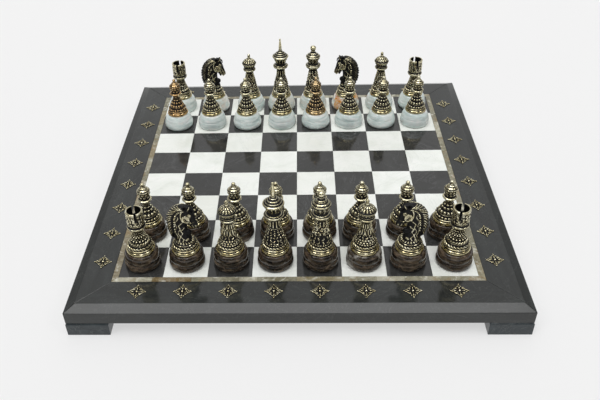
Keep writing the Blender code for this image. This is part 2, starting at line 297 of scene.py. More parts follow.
def turned(start, bands, steps, step, twist=0.0, close_bottom=True):
    """A turned figure with cast relief.  Gives vertices in squares, faces,
    and the `wear` channel: 1 on polished ridges, 0 in blackened ground."""
    R, Z, V, B = profile(start, bands, step)
    t = np.gradient(np.stack([R, Z], 1), axis=0)
    t /= np.maximum(np.linalg.norm(t, axis=1, keepdims=True), 1e-9)
    N = np.stack([t[:, 1], -t[:, 0]], 1)
    # how far each ring stands proud of its neighbourhood
    s = np.concatenate([[0], np.cumsum(np.hypot(np.diff(R), np.diff(Z)))])
    proud = np.zeros(len(R))
    for width, gain in ((0.018, 22.0), (0.05, 7.0)):
        w = np.exp(-0.5 * ((s[:, None] - s[None, :]) / width) ** 2)
        w /= w.sum(1, keepdims=True)
        mr, mz = w @ R, w @ Z
        proud += gain * ((R - mr) * N[:, 0] + (Z - mz) * N[:, 1])
    u = (np.arange(steps) / steps)[None, :]
    height = np.zeros((len(R), steps))
    amp = np.zeros(len(R))
    tone = np.zeros((len(R), steps))
    for k, (_, _, _, pattern, depth) in enumerate(bands):
        rows = B == k
        if not rows.any():
            continue
        if callable(pattern):
            h = pattern(u, V[rows][:, None])
            fade = smoothstep(0, 0.06, V[rows]) * smoothstep(1, 0.94, V[rows])
            height[rows] = h * fade[:, None]
            amp[rows] = depth
            tone[rows] = -0.26 + 1.36 * h * (0.2 + 0.8 * fade[:, None])
        elif pattern == DARK:
            tone[rows] = -0.40
        elif pattern == BRIGHT:
            tone[rows] = 1.0
        else:
            tone[rows] = 0.50
    ang = 2 * np.pi * u + twist
    rr = R[:, None] + N[:, 0][:, None] * amp[:, None] * (height - 0.4)
    zz = Z[:, None] + N[:, 1][:, None] * amp[:, None] * (height - 0.4)
    rr = np.maximum(rr, 0.0)
    verts = np.stack([rr * np.cos(ang), rr * np.sin(ang), zz + 0 * ang], -1).reshape(-1, 3)
    wear = np.clip(tone + proud[:, None] * 0.6, 0, 1)
    faces = grid_faces(len(R), steps).tolist()
    n = len(verts)
    wear = wear.reshape(-1)
    # close the two ends
    extra = []
    low = len(extra) + n
    verts = np.vstack([verts, [[0, 0, Z[0]]], [[0, 0, Z[-1]]]])
    wear = np.concatenate([wear, [wear[0]], [wear[-steps]]])
    for j in range(steps):
        faces.append([n, (j + 1) % steps, j])
        a = (len(R) - 1) * steps
        faces.append([n + 1, a + j, a + (j + 1) % steps])
    return verts, faces, wear


# ======================================================== the cast figures
def foot_bands(g, braid):
    """Polished flange and two rings shared by every cast figure."""
    return [
        (g, 0.428, 0.10, BRIGHT, 0), (g, 0.446, 0.20, BRIGHT, 0),
        (g - 0.010, 0.474, 0.15, BRIGHT, 0), (g - 0.028, 0.494, 0.10, BRIGHT, 0),
        (g - 0.036, 0.500, 0.0, DARK, 0), (g - 0.042, 0.512, 0.0, DARK, 0),
        (g - 0.036, 0.520, 0.3, BRIGHT, 0), (g - 0.044, 0.542, 0.4, BRIGHT, 0),
        (g - 0.056, 0.548, 0.0, DARK, 0), (g - 0.062, 0.560, 0.0, DARK, 0),
        (g - 0.058, 0.566, 0.2, PLAIN, 0),
        (g - 0.076, 0.618, 0.30, p_rope(22, 1.0) if braid else p_bead(20), 0.030),
        (g - 0.088, 0.626, 0.0, DARK, 0), (g - 0.090, 0.636, 0.0, DARK, 0)]


def king_bands(rim):
    return foot_bands(rim, True) + [
        (0.232, 0.668, 0.1, p_bead(26), 0.016),
        (0.184, 0.880, 0.03, p_vine(16, 3), 0.034),
        (0.134, 1.052, -0.02, p_vine(13, 3), 0.030),
        (0.136, 1.066, 0.4, BRIGHT, 0), (0.124, 1.078, 0.0, DARK, 0),
        (0.110, 1.262, -0.05, p_flute(10, 0.52), 0.026),
        (0.104, 1.276, 0.0, DARK, 0), (0.150, 1.312, -0.1, DARK, 0),
        (0.208, 1.352, -0.05, PLAIN, 0),
        (0.222, 1.376, 0.3, BRIGHT, 0), (0.214, 1.400, 0.4, BRIGHT, 0),
        (0.194, 1.404, 0.0, DARK, 0), (0.182, 1.410, 0.0, DARK, 0),
        (0.170, 1.424, 0.4, BRIGHT, 0), (0.152, 1.428, 0.0, DARK, 0),
        (0.130, 1.450, -0.2, DARK, 0), (0.126, 1.478, 0.0, DARK, 0),
        (0.196, 1.640, -0.06, p_flute(13, 0.55, 0.1), 0.030),
        (0.230, 1.668, 0.2, BRIGHT, 0), (0.236, 1.696, 0.4, BRIGHT, 0),
        (0.214, 1.712, 0.1, BRIGHT, 0), (0.198, 1.716, 0.0, DARK, 0),
        (0.178, 1.734, 0.0, DARK, 0),
        (0.172, 1.752, 0.4, BRIGHT, 0), (0.156, 1.758, 0.0, DARK, 0),
        (0.136, 1.776, 0.0, DARK, 0), (0.124, 1.796, 0.4, BRIGHT, 0),
        (0.108, 1.800, 0.0, DARK, 0), (0.084, 1.818, 0.0, DARK, 0),
        (0.076, 1.838, 0.4, BRIGHT, 0), (0.056, 1.846, 0.0, DARK, 0),
        (0.046, 1.862, 0.0, DARK, 0), (0.050, 1.886, 0.4, BRIGHT, 0),
        (0.046, 1.898, 0.0, DARK, 0), (0.043, 2.000, 0.0, BRIGHT, 0),
        (0.030, 2.110, -0.02, BRIGHT, 0), (0.021, 2.178, 0.0, BRIGHT, 0),
        (0.028, 2.196, 0.3, BRIGHT, 0), (0.024, 2.216, 0.4, BRIGHT, 0),
        (0.000, 2.232, 0.3, BRIGHT, 0)]


def queen_bands(rim):
    return foot_bands(rim, True) + [
        (0.230, 0.670, 0.1, p_bead(24), 0.016),
        (0.186, 0.870, 0.03, p_vine(13, 2), 0.034),
        (0.120, 1.180, -0.04, p_scroll(7, 3, 2.0), 0.034),
        (0.112, 1.236, -0.02, p_flute(9, 0.5), 0.020),
        (0.106, 1.248, 0.0, DARK, 0), (0.150, 1.290, -0.1, DARK, 0),
        (0.206, 1.350, -0.08, p_flute(18, 0.5), 0.012),
        (0.220, 1.378, 0.3, BRIGHT, 0), (0.214, 1.404, 0.4, BRIGHT, 0),
        (0.196, 1.410, 0.0, DARK, 0), (0.184, 1.414, 0.0, DARK, 0),
        (0.172, 1.430, 0.4, BRIGHT, 0), (0.154, 1.434, 0.0, DARK, 0),
        (0.128, 1.460, -0.15, DARK, 0),
        (0.150, 1.560, -0.05, p_petal(9), 0.026),
        (0.192, 1.618, 0.05, p_flute(12, 0.90, 0.10), 0.018),
        (0.206, 1.650, 0.0, DARK, 0), (0.212, 1.664, 0.3, BRIGHT, 0),
        (0.202, 1.684, 0.2, BRIGHT, 0), (0.186, 1.690, 0.0, DARK, 0),
        (0.176, 1.704, 0.0, DARK, 0), (0.172, 1.714, 0.3, BRIGHT, 0),
        (0.154, 1.728, 0.1, BRIGHT, 0), (0.142, 1.732, 0.0, DARK, 0),
        (0.124, 1.746, 0.0, DARK, 0), (0.118, 1.756, 0.1, BRIGHT, 0),
        (0.108, 1.762, 0.0, DARK, 0), (0.094, 1.782, 0.3, BRIGHT, 0),
        (0.070, 1.796, 0.0, DARK, 0), (0.056, 1.820, 0.0, DARK, 0),
        (0.062, 1.842, 0.4, BRIGHT, 0), (0.048, 1.856, 0.0, DARK, 0),
        (0.076, 1.882, 0.15, BRIGHT, 0), (0.086, 1.925, 0.2, BRIGHT, 0),
        (0.072, 1.965, 0.2, BRIGHT, 0), (0.032, 1.990, 0.2, BRIGHT, 0),
        (0.000, 1.998, 0.1, BRIGHT, 0)]


def bishop_bands(rim):
    return foot_bands(rim, True) + [
        (0.222, 0.672, 0.1, p_bead(24), 0.016),
        (0.190, 0.780, 0.02, p_dots(19, 2, 0.46), 0.030),
        (0.170, 0.860, 0.0, p_vine(14, 1), 0.030),
        (0.095, 1.178, -0.03, p_leaf(7, 2), 0.034),
        (0.088, 1.186, 0.0, DARK, 0), (0.130, 1.222, -0.1, DARK, 0),
        (0.172, 1.258, -0.05, PLAIN, 0),
        (0.184, 1.278, 0.3, BRIGHT, 0), (0.178, 1.300, 0.4, BRIGHT, 0),
        (0.160, 1.308, 0.0, DARK, 0), (0.152, 1.328, 0.0, DARK, 0),
        (0.162, 1.342, 0.4, BRIGHT, 0), (0.150, 1.352, 0.0, DARK, 0),
        (0.146, 1.384, 0.0, DARK, 0),
        (0.186, 1.438, 0.08, p_bead(16), 0.022),
        (0.202, 1.462, 0.2, BRIGHT, 0), (0.208, 1.486, 0.4, BRIGHT, 0),
        (0.194, 1.500, 0.0, DARK, 0), (0.184, 1.508, 0.0, DARK, 0),
        (0.120, 1.576, 0.06, p_flute(15, 0.90, 0.10), 0.018),
        (0.066, 1.614, -0.03, p_flute(11, 0.90, 0.10), 0.012),
        (0.056, 1.622, 0.0, BRIGHT, 0), (0.046, 1.636, 0.0, DARK, 0),
        (0.040, 1.676, 0.0, BRIGHT, 0), (0.036, 1.690, 0.0, DARK, 0),
        (0.042, 1.712, 0.3, BRIGHT, 0), (0.041, 1.732, 0.4, BRIGHT, 0),
        (0.026, 1.752, 0.2, BRIGHT, 0), (0.013, 1.766, 0.0, BRIGHT, 0),
        (0.000, 1.776, 0.2, BRIGHT, 0)]


def pawn_bands(rim):
    return foot_bands(rim, False) + [
        (0.214, 0.652, 0.1, PLAIN, 0),
        (0.172, 0.734, 0.08, p_bead(14), 0.040),
        (0.164, 0.738, 0.0, DARK, 0), (0.156, 0.756, 0.0, DARK, 0),
        (0.128, 0.822, 0.08, p_bead(11), 0.038),
        (0.122, 0.826, 0.0, DARK, 0), (0.114, 0.846, 0.0, DARK, 0),
        (0.096, 0.896, 0.05, p_bead(8), 0.030),
        (0.080, 0.930, -0.03, PLAIN, 0),
        (0.074, 0.944, 0.0, DARK, 0), (0.084, 0.960, 0.4, BRIGHT, 0),
        (0.084, 0.972, 0.0, DARK, 0), (0.134, 1.020, -0.12, PLAIN, 0),
        (0.162, 1.046, 0.2, BRIGHT, 0), (0.164, 1.072, 0.4, BRIGHT, 0),
        (0.140, 1.086, 0.0, BRIGHT, 0), (0.122, 1.089, 0.0, DARK, 0),
        (0.100, 1.098, -0.1, DARK, 0),
        (0.098, 1.112, 0.0, DARK, 0),
        (0.122, 1.180, 0.12, p_bead(9), 0.026),
        (0.124, 1.190, 0.0, DARK, 0),
        (0.142, 1.268, 0.12, p_bead(11), 0.024),
        (0.150, 1.286, 0.3, BRIGHT, 0), (0.150, 1.308, 0.4, BRIGHT, 0),
        (0.136, 1.318, 0.0, DARK, 0),
        (0.104, 1.352, 0.20, BRIGHT, 0), (0.096, 1.358, 0.0, DARK, 0),
        (0.066, 1.396, 0.20, BRIGHT, 0),
        (0.054, 1.404, 0.0, DARK, 0), (0.054, 1.420, 0.4, BRIGHT, 0),
        (0.034, 1.432, 0.0, DARK, 0),
        (0.046, 1.456, 0.3, BRIGHT, 0), (0.040, 1.484, 0.3, BRIGHT, 0),
        (0.000, 1.503, 0.3, BRIGHT, 0)]


def rook_bands(rim):
    return foot_bands(rim, True) + [
        (0.222, 0.650, 0.1, PLAIN, 0),
        (0.196, 0.712, 0.04, p_rope(20, -1.0), 0.028),
        (0.186, 0.726, 0.0, DARK, 0),
        (0.108, 0.960, -0.03, p_dots(15, 5, 0.44), 0.030),
        (0.100, 0.972, 0.0, DARK, 0), (0.112, 0.990, 0.3, BRIGHT, 0),
        (0.112, 1.002, 0.0, DARK, 0), (0.160, 1.030, -0.1, PLAIN, 0),
        (0.188, 1.052, 0.3, BRIGHT, 0), (0.204, 1.078, 0.2, BRIGHT, 0),
        (0.204, 1.104, 0.4, BRIGHT, 0),
        (0.184, 1.114, 0.0, DARK, 0), (0.176, 1.150, 0.0, DARK, 0),
        (0.186, 1.166, 0.4, BRIGHT, 0),
        (0.184, 1.450, 0.0, p_pebble(24, 6), 0.022),
        (0.190, 1.462, 0.4, BRIGHT, 0), (0.190, 1.475, 0.0, PLAIN, 0),
        (0.189, 1.506, 0.2, BRIGHT, 0), (0.176, 1.515, 0.3, BRIGHT, 0),
        (0.158, 1.513, 0.1, BRIGHT, 0), (0.152, 1.490, 0.0, DARK, 0),
        (0.148, 1.230, 0.0, DARK, 0), (0.130, 1.205, 0.2, DARK, 0),
        (0.000, 1.200, 0.0, DARK, 0)]


STEP = 0.0145
ROUND = 144


# ------------------------------------------------------------- the horse head
def tube(sh, pts, radii, n=10, wear=0.0, face=0.0):
    """Closed tube along a polyline.  radii may hold (in plane, across)."""
    pts = np.asarray(pts, float)
    radii = np.asarray([r if np.ndim(r) else (r, r) for r in radii], float)
    t = np.gradient(pts, axis=0)
    t /= np.maximum(np.linalg.norm(t, axis=1, keepdims=True), 1e-9)
    side = np.tile([0.0, 1.0, 0.0], (len(pts), 1))
    side -= t * (side * t).sum(1, keepdims=True)
    side /= np.maximum(np.linalg.norm(side, axis=1, keepdims=True), 1e-9)
    nrm = np.cross(side, t)
    a = np.arange(n) / n * 2 * np.pi
    rings = pts[:, None, :] + nrm[:, None, :] * (radii[:, 0, None] * np.cos(a))[..., None] \
        + side[:, None, :] * (radii[:, 1, None] * np.sin(a))[..., None]
    v = rings.reshape(-1, 3)
    f = grid_faces(len(pts), n).tolist()
    k = len(v)
    v = np.vstack([v, pts[:1], pts[-1:]])
    last = (len(pts) - 1) * n
    for j in range(n):
        f.append([k, (j + 1) % n, j])
        f.append([k + 1, last + j, last + (j + 1) % n])
    sh.add(v, f, wear=wear, face=face)


def spline(points, count):
    """Catmull-Rom through rows of numbers."""
    p = np.asarray(points, float)
    q = np.vstack([2 * p[0] - p[1], p, 2 * p[-1] - p[-2]])
    ts = np.linspace(0, len(p) - 1, count)
    out = []
    for t in ts:
        i = min(int(t), len(p) - 2)
        f = t - i
        a, b, c, d = q[i], q[i + 1], q[i + 2], q[i + 3]
        out.append(0.5 * ((2 * b) + (c - a) * f + (2 * a - 5 * b + 4 * c - d) * f * f
                          + (3 * b - a - 3 * c + d) * f ** 3))
    return np.array(out)


def ellipsoid(sh, c, r, rot=0.0, n=16, wear=0.0, face=0.0):
    m = 12
    v = []
    for i in range(m + 1):
        ph = math.pi * i / m
        a = np.arange(n) / n * 2 * np.pi
        v.append(np.stack([math.sin(ph) * np.cos(a), math.sin(ph) * np.sin(a),
                           -math.cos(ph) + 0 * a], 1))
    v = np.concatenate(v) * np.asarray(r)
    ca, sa = math.cos(rot), math.sin(rot)
    v = np.stack([v[:, 0] * ca - v[:, 2] * sa, v[:, 1], v[:, 0] * sa + v[:, 2] * ca], 1)
    sh.add(v + np.asarray(c), grid_faces(m + 1, n).tolist(), wear=wear, face=face)


def ring3(sh, c, radius, thick, tilt, n=24, wear=1.0, face=0.0):
    """Thin torus whose axis is across the head, tilted in plane."""
    a = np.linspace(0, 2 * np.pi, n + 1)
    x = c[0] + radius[0] * np.cos(a) * math.cos(tilt) - radius[1] * np.sin(a) * math.sin(tilt)
    z = c[2] + radius[0] * np.cos(a) * math.sin(tilt) + radius[1] * np.sin(a) * math.cos(tilt)
    tube(sh, np.stack([x, np.full_like(x, c[1]), z], 1), [thick] * (n + 1), n=8, wear=wear, face=face)


def horse_parts():
    sh = Shape()
    # neck: centre x, z, half depth, half width
    neck = spline([(0.000, 0.58, 0.200, 0.190), (-0.015, 0.70, 0.185, 0.160),
                   (-0.045, 0.86, 0.172, 0.128), (-0.070, 1.04, 0.176, 0.112),
                   (-0.065, 1.20, 0.182, 0.108), (-0.025, 1.36, 0.170, 0.102),
                   (0.045, 1.475, 0.136, 0.094), (0.110, 1.535, 0.090, 0.080)], 96)
    tube(sh, np.stack([neck[:, 0], 0 * neck[:, 0], neck[:, 1]], 1),
         neck[:, 2:4], n=96)
    # chest
    ellipsoid(sh, (0.100, 0.0, 0.905), (0.100, 0.080, 0.085), 0.5, 48)
    ellipsoid(sh, (0.070, 0.0, 0.770), (0.105, 0.115, 0.110), 0.2, 48)
    # head, poll to lips
    head = spline([(0.095, 1.555, 0.085, 0.070), (0.135, 1.485, 0.124, 0.086),
                   (0.170, 1.402, 0.128, 0.090), (0.206, 1.320, 0.116, 0.078),
                   (0.242, 1.252, 0.096, 0.064), (0.274, 1.200, 0.082, 0.060),
                   (0.298, 1.160, 0.072, 0.062), (0.316, 1.132, 0.058, 0.054),
                   (0.326, 1.112, 0.034, 0.032)], 68)
    tube(sh, np.stack([head[:, 0], 0 * head[:, 0], head[:, 1]], 1), head[:, 2:4], n=56,
         wear=0.0, face=np.repeat(smoothstep(0.25, 0.75, np.linspace(0, 1, 68)), 56).tolist() + [0.2, 1.0])
    # lower jaw
    jaw = spline([(0.145, 1.305, 0.085, 0.076), (0.174, 1.220, 0.058, 0.060),
                  (0.190, 1.165, 0.038, 0.046), (0.203, 1.124, 0.028, 0.040),
                  (0.212, 1.096, 0.022, 0.034), (0.219, 1.080, 0.010, 0.016)], 36)
    tube(sh, np.stack([jaw[:, 0], 0 * jaw[:, 0], jaw[:, 1]], 1), jaw[:, 2:4], n=36, face=0.55)
    for s in (1, -1):
        # cheek: a raised disc with a rim
        ellipsoid(sh, (0.135, s * 0.074, 1.335), (0.088, 0.044, 0.092), 0.3, 24, wear=0.62)
        ring3(sh, (0.135, s * 0.098, 1.335), (0.080, 0.086), 0.011, 0.3)
        tube(sh, [(0.108, s * 0.120, 1.362), (0.135, s * 0.124, 1.340), (0.165, s * 0.118, 1.318)],
             [0.008, 0.014, 0.008], wear=0.0)
        # eye with lids and brow
        ellipsoid(sh, (0.222, s * 0.080, 1.452), (0.024, 0.020, 0.020), 0.4, wear=0.8)
        tube(sh, [(0.172, s * 0.090, 1.448), (0.196, s * 0.099, 1.482),
                  (0.228, s * 0.098, 1.494), (0.262, s * 0.080, 1.464)],
             [0.007, 0.015, 0.015, 0.007], wear=1.0)
        tube(sh, [(0.184, s * 0.090, 1.432), (0.208, s * 0.096, 1.418),
                  (0.238, s * 0.090, 1.424), (0.258, s * 0.078, 1.444)],
             [0.006, 0.010, 0.010, 0.006], wear=0.75)
        # crest line from ear to cheek
        tube(sh, spline([(0.090, s * 0.088, 1.560), (0.046, s * 0.108, 1.500),
                         (0.030, s * 0.118, 1.420), (0.040, s * 0.120, 1.340),
                         (0.070, s * 0.116, 1.262)], 14),
             np.linspace(0.016, 0.012, 14), wear=1.0)
        # bone of the face
        tube(sh, spline([(0.232, s * 0.066, 1.414), (0.262, s * 0.060, 1.326),
                         (0.290, s * 0.050, 1.244), (0.316, s * 0.046, 1.178)], 10),
             np.linspace(0.017, 0.013, 10), wear=0.35, face=1.0)
        # nostril and lips
        ring3(sh, (0.322, s * 0.050, 1.158), (0.020, 0.026), 0.010, -0.4, 14, wear=0.75)
        tube(sh, spline([(0.254, s * 0.046, 1.190), (0.256, s * 0.056, 1.152),
                         (0.276, s * 0.050, 1.120), (0.304, s * 0.032, 1.094)], 10),
             np.linspace(0.011, 0.014, 10), wear=0.6, face=1.0)
        # ear
        ear = spline([(0.165, s * 0.050, 1.560, 0.036), (0.188, s * 0.056, 1.596, 0.036),
                      (0.204, s * 0.054, 1.630, 0.024), (0.216, s * 0.048, 1.664, 0.004)], 12)
        tube(sh, ear[:, :3], np.stack([ear[:, 3], ear[:, 3] * 0.62], 1), n=12, wear=0.15)
        tube(sh, ear[:, :3] + [0.020, s * 0.010, 0.0], [0.008] * 12, n=8, wear=0.9)
        # bridle: nose band and cheek strap
        band = spline([(0.192, s * 0.010, 1.160), (0.202, s * 0.056, 1.198),
                       (0.240, s * 0.070, 1.232), (0.298, s * 0.050, 1.270),
                       (0.332, s * 0.000, 1.286)], 16)
        tube(sh, band, [0.009] * 16, wear=0.55)
        strap = spline([(0.236, s * 0.074, 1.232), (0.212, s * 0.088, 1.262),
                        (0.206, s * 0.094, 1.300), (0.214, s * 0.092, 1.380)], 12)
        tube(sh, strap, [0.008] * 12, wear=0.45)
        for i in range(1, 12, 2):
            ellipsoid(sh, strap[i] + [0, s * 0.004, 0], (0.013, 0.012, 0.013), n=10, wear=1.0)
    # forelock
    for y in (-0.036, -0.012, 0.012, 0.036):
        tube(sh, spline([(0.110, y, 1.636), (0.205, y * 1.1, 1.618),
                         (0.276, y * 0.9, 1.566), (0.292, y * 0.6, 1.500)], 12),
             np.linspace(0.020, 0.008, 12), wear=0.35)
    # mane: a body and strands that sweep back and down over it
    crest = spline([(0.170, 1.628), (0.080, 1.648), (-0.030, 1.634), (-0.150, 1.584),
                    (-0.250, 1.486), (-0.318, 1.362), (-0.350, 1.220),
                    (-0.354, 1.070), (-0.332, 0.930), (-0.280, 0.800),
                    (-0.212, 0.700)], 61)
    root = spline([(0.130, 1.560), (0.050, 1.560), (-0.030, 1.520), (-0.100, 1.455),
                   (-0.142, 1.370), (-0.168, 1.270), (-0.182, 1.150),
                   (-0.186, 1.030), (-0.176, 0.910), (-0.150, 0.800),
                   (-0.115, 0.700)], 61)
    mid = (crest + root) / 2
    half = np.linalg.norm(crest - root, axis=1) / 2
    tube(sh, np.stack([mid[:, 0], 0 * mid[:, 0], mid[:, 1]], 1),
         np.stack([half * 0.84, np.full(61, 0.050) * smoothstep(0, 0.15, np.linspace(0, 1, 61)) + 0.02], 1), n=40)
    count = 14
    for k in range(count):
        i0 = 1 + int(k * 47 / count)
        i1, i2 = min(i0 + 6, 60), min(i0 + 13, 60)
        for s in (1, -1):
            a, b, c = root[i0], mid[i1], crest[i2]
            out = c + (c - mid[i2]) * 0.03
            pts = spline([(a[0], s * 0.086, a[1]), (b[0], s * 0.092, b[1]),
                          ((b[0] + c[0]) / 2, s * 0.070, (b[1] + c[1]) / 2 + 0.004),
                          (out[0], s * 0.014, out[1])], 40)
            # a dark lock with a bright edge along its upper side
            tube(sh, pts - [0.0, s * 0.013, 0.020], np.linspace(0.034, 0.026, 40), n=20, wear=0.0)
            lift = np.linspace(1, 0.35, 40)[:, None] * np.array([[-0.004, s * 0.022, 0.010]])
            tube(sh, pts + lift, np.linspace(0.0085, 0.0082, 40), n=8,
                 wear=np.repeat(smoothstep(0.02, 0.25, np.linspace(0, 1, 40)), 8).tolist() + [0.2, 1.0])
            if k:
                p = root[i0 + 1]
                ellipsoid(sh, (p[0] + 0.030, s * 0.108, p[1] - 0.006),
                          (0.017, 0.015, 0.017), n=10, wear=1.0)
    # wavy locks down the side of the neck
    for s in (1, -1):
        for k, (x0, z0, x1, z1, ph) in enumerate((
                (-0.050, 1.380, -0.095, 0.760, 0.0), (0.010, 1.220, -0.030, 0.720, 1.9),
                (0.045, 1.090, 0.045, 0.720, 0.8))):
            t = np.linspace(0, 1, 34)
            x = x0 + (x1 - x0) * t + 0.022 * np.sin(2 * np.pi * (2.6 * t) + ph) - 0.045 * np.sin(np.pi * t)
            z = z0 + (z1 - z0) * t
            w = np.interp(z, neck[:, 1], neck[:, 3])
            cx = np.interp(z, neck[:, 1], neck[:, 0])
            dpt = np.interp(z, neck[:, 1], neck[:, 2])
            y = s * (w * np.sqrt(np.clip(1 - ((x - cx) / (dpt * 1.05)) ** 2, 0.15, 1)) + 0.002)
            tube(sh, np.stack([x, y, z], 1), 0.0080 + 0.0020 * np.sin(9 * t), n=8, wear=0.9)
        for x0, z0, r0, w0 in ((0.110, 0.760, 0.030, 1), (-0.080, 0.710, 0.028, -1)):
            a = np.linspace(0, 2.3 * np.pi, 24)
            r = r0 * (1 - a / (2.7 * np.pi))
            x, z = x0 + w0 * r * np.cos(a), z0 + r * np.sin(a)
            wd = np.interp(z, neck[:, 1], neck[:, 3])
            cx = np.interp(z, neck[:, 1], neck[:, 0])
            dpt = np.interp(z, neck[:, 1], neck[:, 2])
            y = s * (wd * np.sqrt(np.clip(1 - ((x - cx) / (dpt * 1.1)) ** 2, 0.10, 1)) + 0.003)
            tube(sh, np.stack([x, y, z], 1), np.linspace(0.009, 0.007, 24), n=8, wear=0.85)
    for k in range(18):
        a = 2 * np.pi * k / 18
        ellipsoid(sh, (0.006 + 0.192 * math.cos(a), 0.176 * math.sin(a), 0.676),
                  (0.022, 0.022, 0.020), n=10, wear=1.0)
    return sh


def vertex_wear(obj, fine, coarse, gain, bias):
    """1 on edges and crowns, 0 in hollows, measured on the mesh itself."""
    me = obj.data
    n = len(me.vertices)
    co = np.empty(n * 3); me.vertices.foreach_get("co", co); co = co.reshape(-1, 3)
    no = np.empty(n * 3); me.vertices.foreach_get("normal", no); no = no.reshape(-1, 3)
    e = np.empty(len(me.edges) * 2, np.int32); me.edges.foreach_get("vertices", e); e = e.reshape(-1, 2)
    deg = np.bincount(e.ravel(), minlength=n)[:, None]

    def relax(p):
        s = np.zeros_like(p)
        for k in range(p.shape[1]):
            s[:, k] = np.bincount(e[:, 0], p[e[:, 1], k], n) + np.bincount(e[:, 1], p[e[:, 0], k], n)
        return s / np.maximum(deg, 1)
    p = co.copy()
    fields = []
    for it in range(1, coarse + 1):
        p = relax(p)
        if it in (fine, coarse):
            fields.append(((co - p) * no).sum(1))
    h = fields[0] * gain[0] + fields[1] * gain[1]
    for _ in range(2):
        h = relax(h[:, None])[:, 0] * 0.5 + h * 0.5
    return np.clip(bias + h / S, 0, 1)


def make_horse():
    sh = horse_parts()
    src = sh.points()
    obj = new_object("horse_pattern", src * S, sh.f, [])
    mod = obj.modifiers.new("fuse", "REMESH")
    mod.mode = "VOXEL"
    mod.voxel_size = 0.0085 * S
    mod.use_smooth_shade = True
    soft = obj.modifiers.new("soft", "SMOOTH")
    soft.factor = 0.5
    soft.iterations = 1
    bpy.context.view_layer.update()
    graph = bpy.context.evaluated_depsgraph_get()
    mesh = bpy.data.meshes.new_from_object(obj.evaluated_get(graph))
    obj.modifiers.clear()
    obj.data = mesh
    relief = vertex_wear(obj, 4, 30, (22.0, 5.0), 0.0)
    n = len(mesh.vertices)
    co = np.empty(n * 3); mesh.vertices.foreach_get("co", co); co = co.reshape(-1, 3) / S
    # each point takes the finish of the nearest part
    tree = KDTree(len(src))
    for i, p in enumerate(src):
        tree.insert(p, i)
    tree.balance()
    near = np.array([tree.find(p)[1] for p in co])
    wear, face = sh.ch["wear"][near], sh.ch["face"][near]
    faces = [list(p.vertices) for p in mesh.polygons]
    bpy.data.objects.remove(obj)
    return co, faces, wear, face, relief


# ==================================================================== materials
def nodes_of(name):
    mat = bpy.data.materials.new(name)
    mat.use_nodes = True
    nt = mat.node_tree
    return mat, nt, nt.nodes["Principled BSDF"]


class Net:
    """Small helper for node trees."""

    def __init__(self, name):
        self.mat, self.nt, self.bsdf = nodes_of(name)
        self.coord = self.nt.nodes.new("ShaderNodeTexCoord").outputs["Object"]

    def link(self, a, b):
        self.nt.links.new(a, b)

    def node(self, kind, **inputs):
        n = self.nt.nodes.new(kind)
        for key, val in inputs.items():
            sock = n.inputs[key]
            if isinstance(val, bpy.types.NodeSocket):
                self.link(val, sock)
            else:
                sock.default_value = val
        return n

    def mapping(self, scale=(1, 1, 1), rot=(0, 0, 0), loc=(0, 0, 0), vec=None):
        n = self.nt.nodes.new("ShaderNodeMapping")
        n.inputs["Scale"].default_value = scale
        n.inputs["Rotation"].default_value = rot
        n.inputs["Location"].default_value = loc
        self.link(vec or self.coord, n.inputs["Vector"])
        return n.outputs["Vector"]

    def noise(self, scale, detail=4.0, rough=0.55, dist=0.0, vec=None):
        n = self.nt.nodes.new("ShaderNodeTexNoise")
        n.inputs["Scale"].default_value = scale
        n.inputs["Detail"].default_value = detail
        n.inputs["Roughness"].default_value = rough
        n.inputs["Distortion"].default_value = dist
        self.link(vec or self.coord, n.inputs["Vector"])
        return n.outputs["Fac"]

    def voronoi(self, scale, feature="F1", out="Distance", vec=None):
        n = self.nt.nodes.new("ShaderNodeTexVoronoi")
        n.feature = feature
        n.inputs["Scale"].default_value = scale
        self.link(vec or self.coord, n.inputs["Vector"])
        return n.outputs[out]

    def ramp(self, fac, stops, interp="LINEAR"):
        n = self.nt.nodes.new("ShaderNodeValToRGB")
        n.color_ramp.interpolation = interp
        el = n.color_ramp.elements
        while len(el) < len(stops):
            el.new(0.5)
        for e, (p, c) in zip(el, stops):
            e.position = p
            e.color = (*c, 1.0) if len(c) == 3 else c
        self.link(fac, n.inputs["Fac"])
        return n.outputs["Color"]

    def math(self, op, a, b=None, c=None, clamp=False):
        n = self.nt.nodes.new("ShaderNodeMath")
        n.operation = op
        n.use_clamp = clamp
        for i, val in enumerate((a, b, c)):
            if val is None:
                continue
            if isinstance(val, bpy.types.NodeSocket):
                self.link(val, n.inputs[i])
            else:
                n.inputs[i].default_value = val
        return n.outputs[0]

    def mix(self, fac, a, b, kind="MIX"):
        n = self.nt.nodes.new("ShaderNodeMix")
        n.data_type = "RGBA"
        n.blend_type = kind
        for key, val in ((0, fac), (6, a), (7, b)):
            if isinstance(val, bpy.types.NodeSocket):
                self.link(val, n.inputs[key])
            elif key == 0:
                n.inputs[0].default_value = val
            else:
                n.inputs[key].default_value = (*val, 1.0)
        return n.outputs[2]

    def attribute(self, name):
        n = self.nt.nodes.new("ShaderNodeAttribute")
        n.attribute_name = name
        return n.outputs["Fac"]

    def bump(self, height, strength=0.2, distance=0.0002, normal=None):
        n = self.nt.nodes.new("ShaderNodeBump")
        n.inputs["Strength"].default_value = strength
        n.inputs["Distance"].default_value = distance
        self.link(height, n.inputs["Height"])
        if normal:
            self.link(normal, n.inputs["Normal"])
        return n.outputs["Normal"]

    def out(self, color=None, rough=None, metal=None, normal=None, **consts):
        b = self.bsdf
        for key, val in (("Base Color", color), ("Roughness", rough),
                         ("Metallic", metal), ("Normal", normal)):
            if val is None:
                continue
            if isinstance(val, bpy.types.NodeSocket):
                self.link(val, b.inputs[key])
            elif key == "Base Color":
                b.inputs[key].default_value = (*val, 1.0)
            else:
                b.inputs[key].default_value = val
        for key, val in consts.items():
            b.inputs[key.replace("_", " ")].default_value = val
        return self.mat


